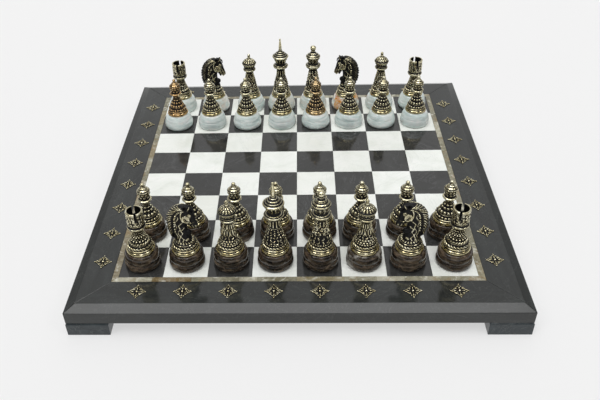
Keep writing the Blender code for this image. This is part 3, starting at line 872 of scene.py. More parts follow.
def lin(h):
    """sRGB hex to linear."""
    c = [int(h[i:i + 2], 16) / 255 for i in (0, 2, 4)]
    return tuple(x / 12.92 if x <= 0.04045 else ((x + 0.055) / 1.055) ** 2.4 for x in c)


def mat_brass(name):
    """Cast brass: polished ridges over a blackened ground."""
    n = Net(name)
    wear = n.attribute("wear")
    tint = n.attribute("tint")
    # This attribute picks the deeper gold ramp over the pale one: a set bronze tone on the medallions, and on the
    # pieces' lower flanges partly their own deeper gold, partly a painted reflection of the stone base below.
    gold_tone_and_reflection = n.attribute("gold_tone_and_reflection")
    rub = n.noise(1300.0, 3.0, 0.6)
    blot = n.noise(220.0, 3.0, 0.5)
    m = n.math("ADD", wear, n.math("MULTIPLY", n.math("SUBTRACT", rub, 0.5), 0.30))
    m = n.math("ADD", m, n.math("MULTIPLY", n.math("SUBTRACT", blot, 0.5), 0.22))
    fac = n.ramp(m, [(0.37, (0, 0, 0)), (0.47, (0.50, 0.50, 0.50)), (0.57, (1, 1, 1))])
    # Painted shade: the metal colour is multiplied down to about a fifth where the wear mask is low, and kept
    # full only on the most rubbed crowns, so the mid-tones read dark.
    painted_midtone_shade = n.ramp(m, [(0.44, (0.22, 0.20, 0.18)), (0.62, (0.76, 0.74, 0.70)), (0.82, (1, 1, 1))])
    pale = n.ramp(blot, [(0.30, (0.500, 0.435, 0.260)), (0.52, (0.700, 0.650, 0.445)),
                         (0.75, (0.880, 0.850, 0.690))])
    gold = n.ramp(blot, [(0.30, (0.430, 0.350, 0.165)), (0.52, (0.630, 0.555, 0.325)),
                         (0.75, (0.820, 0.765, 0.560))])
    copper = n.ramp(blot, [(0.30, (0.400, 0.235, 0.100)), (0.52, (0.600, 0.385, 0.170)),
                           (0.75, (0.800, 0.600, 0.350))])
    metal = n.mix(tint, n.mix(gold_tone_and_reflection, pale, gold), copper)
    metal = n.mix(1.0, metal, painted_midtone_shade, "MULTIPLY")
    patina = n.ramp(rub, [(0.35, (0.0025, 0.0028, 0.0034)), (0.65, (0.0090, 0.0085, 0.0080))])
    color = n.mix(fac, patina, metal)
    rough = n.math("ADD", n.math("MULTIPLY", fac, -0.25), 0.43)
    rough = n.math("ADD", rough, n.math("MULTIPLY", n.math("SUBTRACT", rub, 0.5), 0.12))
    metalness = n.math("MULTIPLY", fac, 1.0, clamp=True)
    normal = n.bump(rub, 0.20, 0.00010)
    return n.out(color, rough, metalness, normal, Specular_IOR_Level=0.22)


def mat_light_onyx():
    n = Net("light_onyx")
    warp = n.mapping((0.7, 0.7, 3.2), (0.22, 0.12, 0.0))
    band = n.noise(60.0, 5.0, 0.55, 1.1, warp)
    cloud = n.noise(24.0, 3.0, 0.5, 0.4)
    base = n.ramp(band, [(0.30, lin("B2C5C3")), (0.44, lin("D5E3E0")),
                         (0.56, lin("E8F1EE")), (0.68, lin("FCFEFC"))])
    base = n.mix(n.math("MULTIPLY", cloud, 0.40), base, lin("DEE8E5"))
    vein = n.ramp(n.noise(38.0, 4.0, 0.6, 2.0, warp),
                  [(0.480, (0, 0, 0)), (0.50, (1, 1, 1)), (0.520, (0, 0, 0))])
    base = n.mix(n.math("MULTIPLY", vein, 0.40), base, lin("FAFCFB"))
    amber = n.attribute("amber")
    spot = n.ramp(n.noise(70.0, 4.0, 0.6, 1.0), [(0.38, (0, 0, 0)), (0.58, (1, 1, 1))])
    rust = n.ramp(n.noise(120.0, 3.0, 0.5, 0.6), [(0.30, lin("C06A1E")), (0.55, lin("DE9A48")),
                                                 (0.80, lin("EBD8B4"))])
    base = n.mix(n.math("MULTIPLY", spot, amber, clamp=True), base, rust)
    rough = n.math("ADD", n.math("MULTIPLY", band, 0.10), 0.08)
    normal = n.bump(n.noise(300.0, 2.0), 0.05, 0.0001)
    return n.out(base, rough, 0.0, normal, Coat_Weight=0.35, Coat_Roughness=0.05,
                 Subsurface_Weight=0.15, Subsurface_Scale=0.004,
                 Subsurface_Radius=(0.55, 0.80, 0.85))


def mat_dark_onyx():
    n = Net("dark_onyx")
    warp = n.mapping((0.8, 0.8, 2.4), (0.4, -0.25, 0.2))
    band = n.noise(62.0, 6.0, 0.62, 1.8, warp)
    base = n.ramp(band, [(0.30, lin("0C0B09")), (0.45, lin("231F1A")), (0.55, lin("3D352B")),
                         (0.65, lin("5F5344")), (0.80, lin("A0927D"))])
    vein = n.ramp(n.noise(46.0, 5.0, 0.6, 2.6, warp),
                  [(0.472, (0, 0, 0)), (0.50, (1, 1, 1)), (0.528, (0, 0, 0))])
    base = n.mix(n.math("MULTIPLY", vein, 0.50), base, lin("7A6452"))
    fleck = n.ramp(n.noise(230.0, 3.0, 0.6), [(0.60, (0, 0, 0)), (0.74, (1, 1, 1))])
    base = n.mix(n.math("MULTIPLY", fleck, 0.45), base, lin("84705C"))
    red = n.ramp(n.noise(40.0, 3.0, 0.5, 0.8), [(0.50, (0, 0, 0)), (0.72, (1, 1, 1))])
    base = n.mix(n.math("MULTIPLY", red, 0.10), base, lin("33261A"))
    white = n.attribute("amber")
    spot = n.ramp(n.noise(60.0, 4.0, 0.6, 1.2), [(0.50, (0, 0, 0)), (0.60, (1, 1, 1))])
    base = n.mix(n.math("MULTIPLY", spot, white), base, lin("A09C94"))
    rough = n.math("ADD", n.math("MULTIPLY", band, 0.05), 0.05)
    normal = n.bump(n.noise(140.0, 2.0), 0.02, 0.0001)
    return n.out(base, rough, 0.0, normal)


def mat_white_marble():
    n = Net("white_marble")
    tint = n.attribute("tint")
    cloud = n.noise(34.0, 5.0, 0.55, 0.8)
    base = n.ramp(cloud, [(0.30, lin("E9EDE6")), (0.50, lin("F4F7F2")), (0.72, lin("FBFCF9"))])
    grain = n.noise(900.0, 2.0, 0.6)
    base = n.mix(n.math("MULTIPLY", n.math("SUBTRACT", grain, 0.35), 0.35, clamp=True), base, lin("C6C9C2"))
    vein = n.ramp(n.noise(11.0, 6.0, 0.62, 2.2), [(0.485, (0, 0, 0)), (0.50, (1, 1, 1)), (0.515, (0, 0, 0))])
    base = n.mix(n.math("MULTIPLY", vein, 0.20), base, lin("BFC4BE"))
    base = n.mix(n.math("MULTIPLY", tint, 0.40), base, lin("DEDFD6"))
    rough = n.math("ADD", n.math("MULTIPLY", cloud, 0.10), 0.10)
    normal = n.bump(grain, 0.03, 0.0001)
    return n.out(base, rough, 0.0, normal)


def mat_dark_marble():
    n = Net("dark_marble")
    tint = n.attribute("tint")
    cloud = n.noise(30.0, 6.0, 0.6, 1.0)
    base = n.ramp(cloud, [(0.28, lin("2A2A29")), (0.50, lin("323231")), (0.74, lin("3D3D3C"))])
    grain = n.noise(1100.0, 3.0, 0.65)
    base = n.mix(n.math("MULTIPLY", n.math("SUBTRACT", grain, 0.42), 0.7, clamp=True), base, lin("5C5D5B"))
    vein = n.ramp(n.noise(9.0, 6.0, 0.62, 2.6), [(0.49, (0, 0, 0)), (0.50, (1, 1, 1)), (0.51, (0, 0, 0))])
    base = n.mix(n.math("MULTIPLY", vein, 0.22), base, lin("707173"))
    base = n.mix(n.math("MULTIPLY", tint, 0.25), base, lin("222323"))
    rough = n.math("ADD", n.math("MULTIPLY", cloud, 0.08), 0.05)
    normal = n.bump(grain, 0.02, 0.0001)
    return n.out(base, rough, 0.0, normal)


def mat_border(name, along):
    """Dark marble with faint streaks along the slab."""
    n = Net(name)
    scale = (0.30, 1.5, 1.5) if along == "x" else (1.5, 0.30, 1.5)
    streak = n.noise(46.0, 6.0, 0.62, 0.6, n.mapping(scale))
    cloud = n.noise(14.0, 5.0, 0.6, 1.2)
    grain = n.noise(900.0, 3.0, 0.65)
    base = n.ramp(streak, [(0.28, lin("222322")), (0.50, lin("292B2A")), (0.74, lin("353837"))])
    base = n.mix(n.math("MULTIPLY", cloud, 0.35), base, lin("252726"))
    base = n.mix(n.math("MULTIPLY", n.math("SUBTRACT", grain, 0.42), 0.6, clamp=True), base, lin("484B49"))
    vein = n.ramp(n.noise(13.0, 6.0, 0.64, 3.0), [(0.493, (0, 0, 0)), (0.50, (1, 1, 1)), (0.507, (0, 0, 0))])
    base = n.mix(n.math("MULTIPLY", vein, 0.14), base, lin("7A7C79"))
    rough = n.math("ADD", n.math("MULTIPLY", streak, 0.10), 0.06)
    normal = n.bump(grain, 0.02, 0.0001)
    return n.out(base, rough, 0.0, normal)


def mat_foot():
    n = Net("foot_marble")
    cloud = n.noise(70.0, 6.0, 0.65, 0.8)
    grain = n.noise(900.0, 3.0, 0.65)
    base = n.ramp(cloud, [(0.28, lin("20272A")), (0.50, lin("2A3236")), (0.74, lin("3A4346"))])
    base = n.mix(n.math("MULTIPLY", n.math("SUBTRACT", grain, 0.42), 0.7, clamp=True), base, lin("565D5E"))
    vein = n.ramp(n.noise(26.0, 6.0, 0.64, 3.0), [(0.485, (0, 0, 0)), (0.50, (1, 1, 1)), (0.515, (0, 0, 0))])
    base = n.mix(n.math("MULTIPLY", vein, 0.30), base, lin("7E8481"))
    rough = n.math("ADD", n.math("MULTIPLY", cloud, 0.14), 0.16)
    return n.out(base, rough, 0.0, n.bump(grain, 0.06, 0.0001))


def mat_inlay():
    """Strip of onyx and shell pieces butted end to end."""
    n = Net("shell_inlay")
    tint = n.attribute("tint")
    hue = n.ramp(tint, [(0.0, lin("6F6A52")), (0.2, lin("8B876F")), (0.38, lin("9A8B63")),
                        (0.52, lin("7A5C2E")), (0.66, lin("9C9A86")), (0.82, lin("B8B49E")),
                        (1.0, lin("D4D0BC"))])
    mott = n.noise(95.0, 6.0, 0.62, 1.8)
    dark = n.ramp(mott, [(0.34, lin("57503A")), (0.52, lin("848069")), (0.74, lin("BFBEB0"))])
    base = n.mix(0.50, hue, dark)
    patch = n.ramp(n.noise(52.0, 4.0, 0.6, 2.2), [(0.55, (0, 0, 0)), (0.66, (1, 1, 1))])
    base = n.mix(n.math("MULTIPLY", patch, 0.65), base, lin("DAD8CA"))
    gold = n.ramp(n.noise(40.0, 4.0, 0.6, 2.0, n.mapping(loc=(3.1, 1.7, 0.0))),
                  [(0.56, (0, 0, 0)), (0.66, (1, 1, 1))])
    base = n.mix(n.math("MULTIPLY", gold, 0.42), base, lin("86652E"))
    vein = n.ramp(n.noise(75.0, 5.0, 0.6, 2.4), [(0.48, (0, 0, 0)), (0.50, (1, 1, 1)), (0.52, (0, 0, 0))])
    base = n.mix(n.math("MULTIPLY", vein, 0.4), base, lin("4A4436"))
    rough = n.math("ADD", n.math("MULTIPLY", mott, 0.12), 0.12)
    return n.out(base, rough, 0.0, n.bump(mott, 0.04, 0.0001), Coat_Weight=0.3, Coat_Roughness=0.08)


def mat_backing():
    n = Net("backing_board")
    fleck = n.noise(700.0, 4.0, 0.7)
    fib = n.noise(260.0, 4.0, 0.6, 0.6, n.mapping((0.2, 2.5, 1.0)))
    base = n.ramp(n.math("ADD", n.math("MULTIPLY", fleck, 0.5), n.math("MULTIPLY", fib, 0.5)),
                  [(0.30, lin("1E1D1C")), (0.55, lin("2D2B29")), (0.75, lin("403D39"))])
    return n.out(base, 0.82, 0.0, n.bump(fib, 0.25, 0.0002))


BRASS = mat_brass("antique_brass")
LIGHT_ONYX = mat_light_onyx()
DARK_ONYX = mat_dark_onyx()
WHITE = mat_white_marble()
BLACK = mat_dark_marble()
BORDER_X = mat_border("border_marble_x", "x")
BORDER_Y = mat_border("border_marble_y", "y")
FOOT = mat_foot()
INLAY = mat_inlay()
BACKING = mat_backing()


# ======================================================================= board
def bevelled(name, make, mats, width, segments=2, angle=30):
    """Object from a bmesh builder, its hard edges rounded."""
    bm = bmesh.new()
    make(bm)
    bmesh.ops.recalc_face_normals(bm, faces=bm.faces[:])
    mesh = bpy.data.meshes.new(name)
    bm.to_mesh(mesh)
    bm.free()
    obj = bpy.data.objects.new(name, mesh)
    COL.objects.link(obj)
    for m in mats:
        mesh.materials.append(m)
    if width:
        mod = obj.modifiers.new("edges", "BEVEL")
        mod.width = width
        mod.segments = segments
        mod.limit_method = "ANGLE"
        mod.angle_limit = math.radians(angle)
        mod.harden_normals = False
        bpy.context.view_layer.update()
        graph = bpy.context.evaluated_depsgraph_get()
        baked = bpy.data.meshes.new_from_object(obj.evaluated_get(graph))
        obj.modifiers.clear()
        obj.data = baked
    return obj


def cube(bm, low, high):
    size = [b - a for a, b in zip(low, high)]
    mid = [(a + b) / 2 for a, b in zip(low, high)]
    return bmesh.ops.create_cube(bm, size=1.0, matrix=Matrix.Translation(mid)
                                 @ Matrix.Diagonal((*size, 1.0)))["verts"]


def tiles(name, dark, node, mat):
    low = float(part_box(node)[0][2])
    obj = bevelled(name, lambda bm: [
        cube(bm, ((c - 4) * S + 0.00007, (r - 4) * S + 0.00007, low),
             ((c - 3) * S - 0.00007, (r - 3) * S - 0.00007, TOP))
        for c in range(8) for r in range(8) if ((c + r) % 2 == 0) == dark],
        [mat], 0.00022, 2)
    n = len(obj.data.vertices)
    co = np.empty(n * 3); obj.data.vertices.foreach_get("co", co); co = co.reshape(-1, 3)
    cell = np.floor(co[:, 0] / S + 4) * 8 + np.floor(co[:, 1] / S + 4)
    put_attribute(obj, "tint", hash01(cell))
    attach(obj, "board")
    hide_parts(node)
    return obj


def inlay():
    lo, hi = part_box("inlay_frame")
    inner, outer = 4 * S + 0.00010, float(hi[0])
    cuts = {}
    cells = []

    def strip(bm):
        for side in range(4):
            rot = Matrix.Rotation(side * math.pi / 2, 4, "Z")
            x, k = -inner, 0
            rng = np.random.default_rng(40 + side)
            marks = [-outer]
            while marks[-1] < outer - 0.030:
                marks.append(marks[-1] + float(rng.uniform(0.016, 0.050)))
            marks[-1] = outer
            for a, b in zip(marks, marks[1:]):
                vs = cube(bm, (a + 0.00004, -outer, float(lo[2])), (b - 0.00004, -inner, TOP))
                # mitre the two ends of the strip
                for v in vs:
                    limit = abs(v.co.y)
                    if abs(v.co.x) > limit:
                        v.co.x = math.copysign(limit - 0.00005, v.co.x)
                    v.co = rot @ v.co
                cells.append(k)
                k += 1
    obj = bevelled("inlay_strip", strip, [INLAY], 0.00012, 1)
    n = len(obj.data.vertices)
    # one tone for each island
    parent = np.arange(n)
    e = np.empty(len(obj.data.edges) * 2, np.int32)
    obj.data.edges.foreach_get("vertices", e)
    e = e.reshape(-1, 2)
    for _ in range(60):
        m = np.minimum(parent[e[:, 0]], parent[e[:, 1]])
        new = parent.copy()
        np.minimum.at(new, e[:, 0], m)
        np.minimum.at(new, e[:, 1], m)
        if (new == parent).all():
            break
        parent = new
    put_attribute(obj, "tint", hash01(parent.astype(float) + 0.37))
    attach(obj, "board")
    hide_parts("inlay_frame")


def borders():
    half = 0.2260
    inner = 0.18645
    flat = 0.2160
    drop = 0.0040
    low = float(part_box("border_front")[0][2])
    for name, turn, mat in (("front", 0, BORDER_X), ("right", 90, BORDER_Y),
                            ("back", 180, BORDER_X), ("left", 270, BORDER_Y)):
        def make(bm):
            prof = [(-half, low), (-half, TOP - drop), (-flat, TOP), (-inner, TOP),
                    (-inner, low)]
            rows = []
            count = 24
            for i in range(count + 1):
                f = -1 + 2 * i / count
                rows.append([bm.verts.new(((abs(y) - 0.00010) * f, y, z)) for y, z in prof])
            for a, b in zip(rows, rows[1:]):
                for j in range(5):
                    k = (j + 1) % 5
                    bm.faces.new((a[j], b[j], b[k], a[k]))
            bm.faces.new(rows[0])
            bm.faces.new(rows[-1])
            bmesh.ops.rotate(bm, cent=(0, 0, 0), matrix=Matrix.Rotation(math.radians(turn), 3, "Z"),
                             verts=bm.verts[:])
        obj = bevelled("border_slab_" + name, make, [mat], 0.00040, 3, 18)
        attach(obj, "board")
        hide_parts("border_" + name)


def feet():
    for name in ("foot_front_left", "foot_front_right", "foot_back_left", "foot_back_right"):
        lo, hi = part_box(name)
        c = 0.0016

        def make(bm):
            rows = []
            for z, inset in ((lo[2], 0.0), (hi[2] - c, 0.0), (hi[2], c)):
                rows.append([bm.verts.new((x, y, z)) for x, y in (
                    (lo[0] + inset, lo[1] + inset), (hi[0] - inset, lo[1] + inset),
                    (hi[0] - inset, hi[1] - inset), (lo[0] + inset, hi[1] - inset))])
            for a, b in zip(rows, rows[1:]):
                for j in range(4):
                    k = (j + 1) % 4
                    bm.faces.new((a[j], a[k], b[k], b[j]))
            bm.faces.new(rows[0][::-1])
            bm.faces.new(rows[-1])
        obj = bevelled(name + "_block", make, [FOOT], 0.00035, 3)
        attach(obj, "board")
        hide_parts(name)


def panel():
    lo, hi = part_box("backing_panel")
    obj = bevelled("backing_sheet", lambda bm: cube(bm, lo, hi), [BACKING], 0.0005, 2)
    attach(obj, "board")
    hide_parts("backing_panel")


def medallion(sh, cx, cy, turn):
    """Cast lozenge: beaded rim, cross ribs, curls and a centre boss."""
    R = 0.0093
    z0 = TOP + 0.0001
    ca, sa = math.cos(turn), math.sin(turn)

    def place(pts):
        p = np.asarray(pts, float)
        return np.stack([cx + p[:, 0] * ca - p[:, 1] * sa, cy + p[:, 0] * sa + p[:, 1] * ca,
                         z0 + p[:, 2]], 1)

    def edge(a):
        """Sides drawn in between the four tips, with three small scallops."""
        t = np.abs(((a / (np.pi / 2)) % 1) - 0.5) * 2      # 1 at a tip, 0 at the waist
        lozenge = 1 / (np.abs(np.cos(a)) + np.abs(np.sin(a)))
        return R * (lozenge * (0.80 + 0.20 * t ** 3) + 0.030 * np.cos(4 * np.pi * t) * (1 - t ** 4))

    m = 64
    a = np.linspace(0, 2 * np.pi, m, endpoint=False)
    rad = edge(a)
    rings = [np.stack([rad * f * np.cos(a), rad * f * np.sin(a), np.full(m, h)], 1)
             for f, h in ((1.0, 0.0), (1.0, 0.00024), (0.95, 0.00036), (0.80, 0.00028),
                          (0.45, 0.00032), (0.16, 0.00040))]
    v = place(np.concatenate(rings))
    f = grid_faces(len(rings), m).tolist()
    k = len(v)
    v = np.vstack([v, place([[0, 0, 0.00042]])])
    last = (len(rings) - 1) * m
    f += [[k, last + j, last + (j + 1) % m] for j in range(m)]
    wear = np.concatenate([np.full(m, 0.1), np.full(m, 0.25), np.full(m, 0.15)]
                          + [np.zeros(m)] * (len(rings) - 3) + [[0.0]])
    sh.add(v, f, wear=wear)

    def wire(pts, r):
        pts = np.asarray(pts, float)
        t = np.gradient(pts, axis=0)
        t /= np.maximum(np.linalg.norm(t, axis=1, keepdims=True), 1e-9)
        side = np.cross(t, [0, 0, 1.0])
        up = np.tile([0, 0, 1.0], (len(pts), 1))
        n = 8
        b = np.arange(n) / n * 2 * np.pi
        rr = np.asarray(r, float) * np.ones(len(pts))
        ring = pts[:, None] + side[:, None] * (rr[:, None] * np.cos(b))[..., None] \
            + up[:, None] * (rr[:, None] * np.sin(b) * 1.1)[..., None]
        vv = place(ring.reshape(-1, 3))
        ff = grid_faces(len(pts), n).tolist()
        kk = len(vv)
        vv = np.vstack([vv, place(pts[:1]), place(pts[-1:])])
        ll = (len(pts) - 1) * n
        for j in range(n):
            ff.append([kk, (j + 1) % n, j])
            ff.append([kk + 1, ll + j, ll + (j + 1) % n])
        ww = np.concatenate([np.tile(0.05 + 0.85 * np.clip(np.sin(b), 0, 1), len(pts)), [0.6, 0.6]])
        sh.add(vv, ff, wear=ww)

    def ball(x, y, r, h):
        mm, n = 6, 12
        vv = []
        for i in range(mm + 1):
            ph = math.pi * i / mm
            b = np.arange(n) / n * 2 * np.pi
            vv.append(np.stack([x + r * math.sin(ph) * np.cos(b), y + r * math.sin(ph) * np.sin(b),
                                h - r * math.cos(ph) * 0.9 + 0 * b], 1))
        vv = np.concatenate(vv)
        ww = np.clip(0.35 + 0.8 * (vv[:, 2] - h) / r, 0, 1)
        sh.add(place(vv), grid_faces(mm + 1, n).tolist(), wear=ww)

    q = np.linspace(0, 2 * np.pi, 97)
    rr = edge(q) * 0.93
    wire(np.stack([rr * np.cos(q), rr * np.sin(q), np.full(97, 0.00040)], 1), 0.00030)
    for k in range(4):
        ang = k * math.pi / 2
        c, s = math.cos(ang), math.sin(ang)

        def at(px, py, h=0.00052):
            return [px * c - py * s, px * s + py * c, h]
        # leaf along each arm, a curl to each side of it
        wire([at(0.0026, 0), at(0.0046, 0.0001), at(0.0070, 0)], [0.00046, 0.00060, 0.00020])
        t = np.linspace(0, 1.7 * np.pi, 16)
        r = 0.00150 * (1 - t / (2.6 * np.pi))
        wire([at(0.0032 + r_ * math.cos(t_), 0.0030 + r_ * math.sin(t_))
              for r_, t_ in zip(r, t)], 0.00032)
        ball(*at(0.0058, 0.0018)[:2], 0.00052, 0.00036)
        ball(*at(0.0018, 0.0058)[:2], 0.00052, 0.00036)
        ball(*at(0.0086, 0)[:2], 0.00072, 0.00036)
    ball(0, 0, 0.00140, 0.00046)


def medallions():
    for side, (name, turn) in enumerate((("front", 0), ("right", 90), ("back", 180), ("left", 270))):
        sh = Shape()
        rot = math.radians(turn)
        for col in range(8):
            x, y = (col - 3.5) * S, -0.2008
            cx = x * math.cos(rot) - y * math.sin(rot)
            cy = x * math.sin(rot) + y * math.cos(rot)
            medallion(sh, cx, cy, rot)
        obj = new_object("medallions_" + name, sh.points(), sh.f, BRASS)
        put_attribute(obj, "wear", sh.ch["wear"])
        put_attribute(obj, "tint", np.zeros(sh.n))
        put_attribute(obj, "gold_tone_and_reflection", np.full(sh.n, 0.35))
        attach(obj, "board")
        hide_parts("border_" + name)


# ====================================================================== pieces
def stone_base_bands(dark):
    """Turned stone foot, from the underside's edge up, with its grooves."""
    if dark:
        out = [(0.392, 0.010, 0.2, 0, 0), (0.405, 0.034, 0.1, 0, 0), (0.410, 0.062, 0.05, 0, 0)]
        for k in range(1, 9):          # lower roll, over its shoulder
            a = math.radians(66) * k / 8
            out.append((0.370 + 0.040 * math.cos(a), 0.074 + 0.112 * math.sin(a), 0.0, 0, 0))
        out += [(0.381, 0.184, 0.0, 0, 0), (0.380, 0.191, 0.0, 0, 0)]
        for k in range(0, 11):         # upper roll
            a = math.radians(-32 + 104 * k / 10)
            out.append((0.322 + 0.070 * math.cos(a), 0.262 + 0.155 * math.sin(a) * (0.85 if a < 0 else 1.0),
                        0.0, 0, 0))
        out.append((0.250, 0.415, 0.0, 0, 0))
        return out
    return [(0.388, 0.012, 0.2, 0, 0), (0.404, 0.050, 0.15, 0, 0),
            (0.411, 0.108, 0.10, 0, 0), (0.406, 0.158, 0.06, 0, 0),
            (0.397, 0.198, 0.06, 0, 0), (0.387, 0.224, 0.06, 0, 0),
            (0.382, 0.231, 0.0, 0, 0), (0.382, 0.239, 0.0, 0, 0),
            (0.377, 0.272, 0.06, 0, 0), (0.365, 0.310, 0.06, 0, 0),
            (0.348, 0.346, 0.06, 0, 0), (0.330, 0.376, 0.06, 0, 0),
            (0.313, 0.398, 0.06, 0, 0), (0.299, 0.411, 0.06, 0, 0),
            (0.250, 0.415, 0.0, 0, 0)]


def stone_base(dark, seed):
    steps = 96
    R, Z, V, B = profile((0.360, 0.0), stone_base_bands(dark), 0.011)
    u = np.arange(steps) / steps * 2 * np.pi
    rng = np.random.default_rng(seed)
    ph = rng.uniform(0, 6.28, 3)
    # hand-turned stone is never quite round
    wob = 1 + 0.0022 * np.sin(2 * u + ph[0]) + 0.0012 * np.sin(3 * u + ph[1])
    rr = R[:, None] * wob[None, :]
    v = np.stack([rr * np.cos(u), rr * np.sin(u), Z[:, None] + 0 * rr], -1).reshape(-1, 3)
    f = grid_faces(len(R), steps).tolist()
    n = len(v)
    v = np.vstack([v, [[0, 0, 0.0]], [[0, 0, Z[-1]]]])
    a = (len(R) - 1) * steps
    for j in range(steps):
        f.append([n, (j + 1) % steps, j])
        f.append([n + 1, a + j, a + (j + 1) % steps])
    return v, f


def turn_points(v, degrees):
    a = math.radians(degrees)
    c, s = math.cos(a), math.sin(a)
    return np.stack([v[:, 0] * c - v[:, 1] * s, v[:, 0] * s + v[:, 1] * c, v[:, 2]], 1)


def place_points(v, centre):
    return v * S + np.array([centre[0], centre[1], TOP + LIFT])


def rook_cut(obj, centre, degrees):
    """Cut the two slots through the turret wall."""
    bm = bmesh.new()
    cube(bm, (-0.3 * S, -0.026 * S, 1.295 * S), (0.3 * S, 0.026 * S, 1.7 * S))
    mesh = bpy.data.meshes.new("slot")
    bm.to_mesh(mesh)
    bm.free()
    mesh.transform(Matrix.Translation((centre[0], centre[1], TOP + LIFT))
                   @ Matrix.Rotation(math.radians(degrees), 4, "Z"))
    cutter = bpy.data.objects.new("slot", mesh)
    COL.objects.link(cutter)
    mod = obj.modifiers.new("slot", "BOOLEAN")
    mod.operation = "DIFFERENCE"
    mod.solver = "EXACT"
    mod.object = cutter
    bpy.context.view_layer.update()
    graph = bpy.context.evaluated_depsgraph_get()
    mesh = bpy.data.meshes.new_from_object(obj.evaluated_get(graph))
    obj.modifiers.clear()
    obj.data = mesh
    bpy.data.objects.remove(cutter)
    obj.data.shade_smooth()
    obj.data.set_sharp_from_angle(angle=math.radians(45))


RIM = {"light": 0.295, "dark": 0.325}


def slim(bands, side):
    """The pale side's cones start a little narrower than the dark side's."""
    if side == "dark":
        return bands
    return [(r * (1 - 0.10 * float(smoothstep(1.0, 0.64, z))) if z > 0.64 else r, z, *rest)
            for r, z, *rest in bands]


BANDS = {"king": king_bands, "queen": queen_bands, "bishop": bishop_bands,
         "rook": rook_bands, "pawn": pawn_bands}
PATTERNS = {(side, kind): turned((rim - 0.010, 0.419), slim(bands(rim), side),
                                 int(ROUND * (0.78 if kind == "pawn" else 1.0)), STEP)
            for side, rim in RIM.items() for kind, bands in BANDS.items()}
HORSE = make_horse()
KNIGHT_FOOT = {side: turned((rim - 0.010, 0.419), slim(foot_bands(rim, True) + [
    (0.220, 0.650, 0.1, PLAIN, 0), (0.196, 0.672, 0.0, DARK, 0),
    (0.000, 0.690, 0.05, DARK, 0)], side), ROUND, STEP)
    for side, rim in RIM.items()}


def figure(name, kind, side, centre, turn, body, node, tint=0.0):
    sh = Shape()
    if kind == "knight":
        v, f, w = KNIGHT_FOOT[side]
        sh.add(v, f, wear=w)
        v, f, w, face, relief = HORSE
        # the far knights' manes stay almost black, their faces are rubbed bright
        mane = smoothstep(-0.08, -0.16, v[:, 0]) * smoothstep(0.75, 0.85, v[:, 2])
        if side == "light":
            w = w * (1 - 0.52 * mane) + face * 0.50 + relief * 0.16
        else:
            w = w * 0.95 + face * 0.06 + relief * 0.08 - 0.03
        sh.add(v, f, wear=np.clip(w, 0, 1))
    else:
        v, f, w = PATTERNS[(side, kind)]
        sh.add(v, f, wear=w)
    height = sh.points()[:, 2]
    pts = place_points(turn_points(sh.points(), turn), centre)
    obj = new_object(name, pts, sh.f, BRASS, sharp=75)
    put_attribute(obj, "wear", sh.ch["wear"])
    put_attribute(obj, "tint", np.full(sh.n, tint))
    # Deeper gold below height 0.50, fading out by 0.66, on the flange and foot rings: partly their own deeper
    # gold, partly a painted reflection of the stone base below.
    put_attribute(obj, "gold_tone_and_reflection", smoothstep(0.66, 0.50, height))
    if kind == "rook":
        rook_cut(obj, centre, turn)
    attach(obj, body)
    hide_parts(node)
    return obj


def base(name, side, centre, body, node, seed, amber=0.0):
    v, f = stone_base(side == "dark", seed)
    pts = place_points(turn_points(v, seed * 37.0), centre)
    obj = new_object(name, pts, f, LIGHT_ONYX if side == "light" else DARK_ONYX, sharp=60)
    put_attribute(obj, "amber", np.full(len(v), amber))
    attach(obj, body)
    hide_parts(node)


FILES = "hgfedcba"
ROWS = {"light": ["rook", "knight", "bishop", "king", "queen", "knight", "bishop", "rook"],
        "dark": ["rook", "knight", "bishop", "king", "queen", "bishop", "knight", "rook"]}
TURN = {"light": {0: 84, 1: 0, 5: 180, 7: 97}, "dark": {0: 108, 1: -12, 6: 192, 7: 72}}
TINT = {"light_pawn_h": 0.9, "light_pawn_d": 0.7}
AMBER = {"light_knight_c": 1.0, "light_knight_g": 0.25, "light_queen": 0.15, "light_king": 0.2,
         "dark_bishop_c": 0.8}


def centre_of(node):
    lo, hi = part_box(node)
    return (float(lo[0] + hi[0]) / 2, float(lo[1] + hi[1]) / 2)


def chess_pieces():
    seed = 0
    for side in ("light", "dark"):
        for col, kind in enumerate(ROWS[side]):
            seed += 1
            body = f"{side}_{kind}" if kind in ("king", "queen") else f"{side}_{kind}_{FILES[col]}"
            c = centre_of(body + "_base")
            turn = TURN[side].get(col, seed * 11 % 30)
            base(body + "_stone", side, c, body, body + "_base", seed, AMBER.get(body, 0.0))
            figure(body + "_cast", kind, side, c, turn, body, body + "_figure", TINT.get(body, 0.0))
        for col in range(8):
            seed += 1
            body = f"{side}_pawn_{FILES[col]}"
            c = centre_of(body)
            base(body + "_stone", side, c, body, body, seed, AMBER.get(body, 0.0))
            figure(body + "_cast", "pawn", side, c, seed * 17 % 50, body, body, TINT.get(body, 0.0))


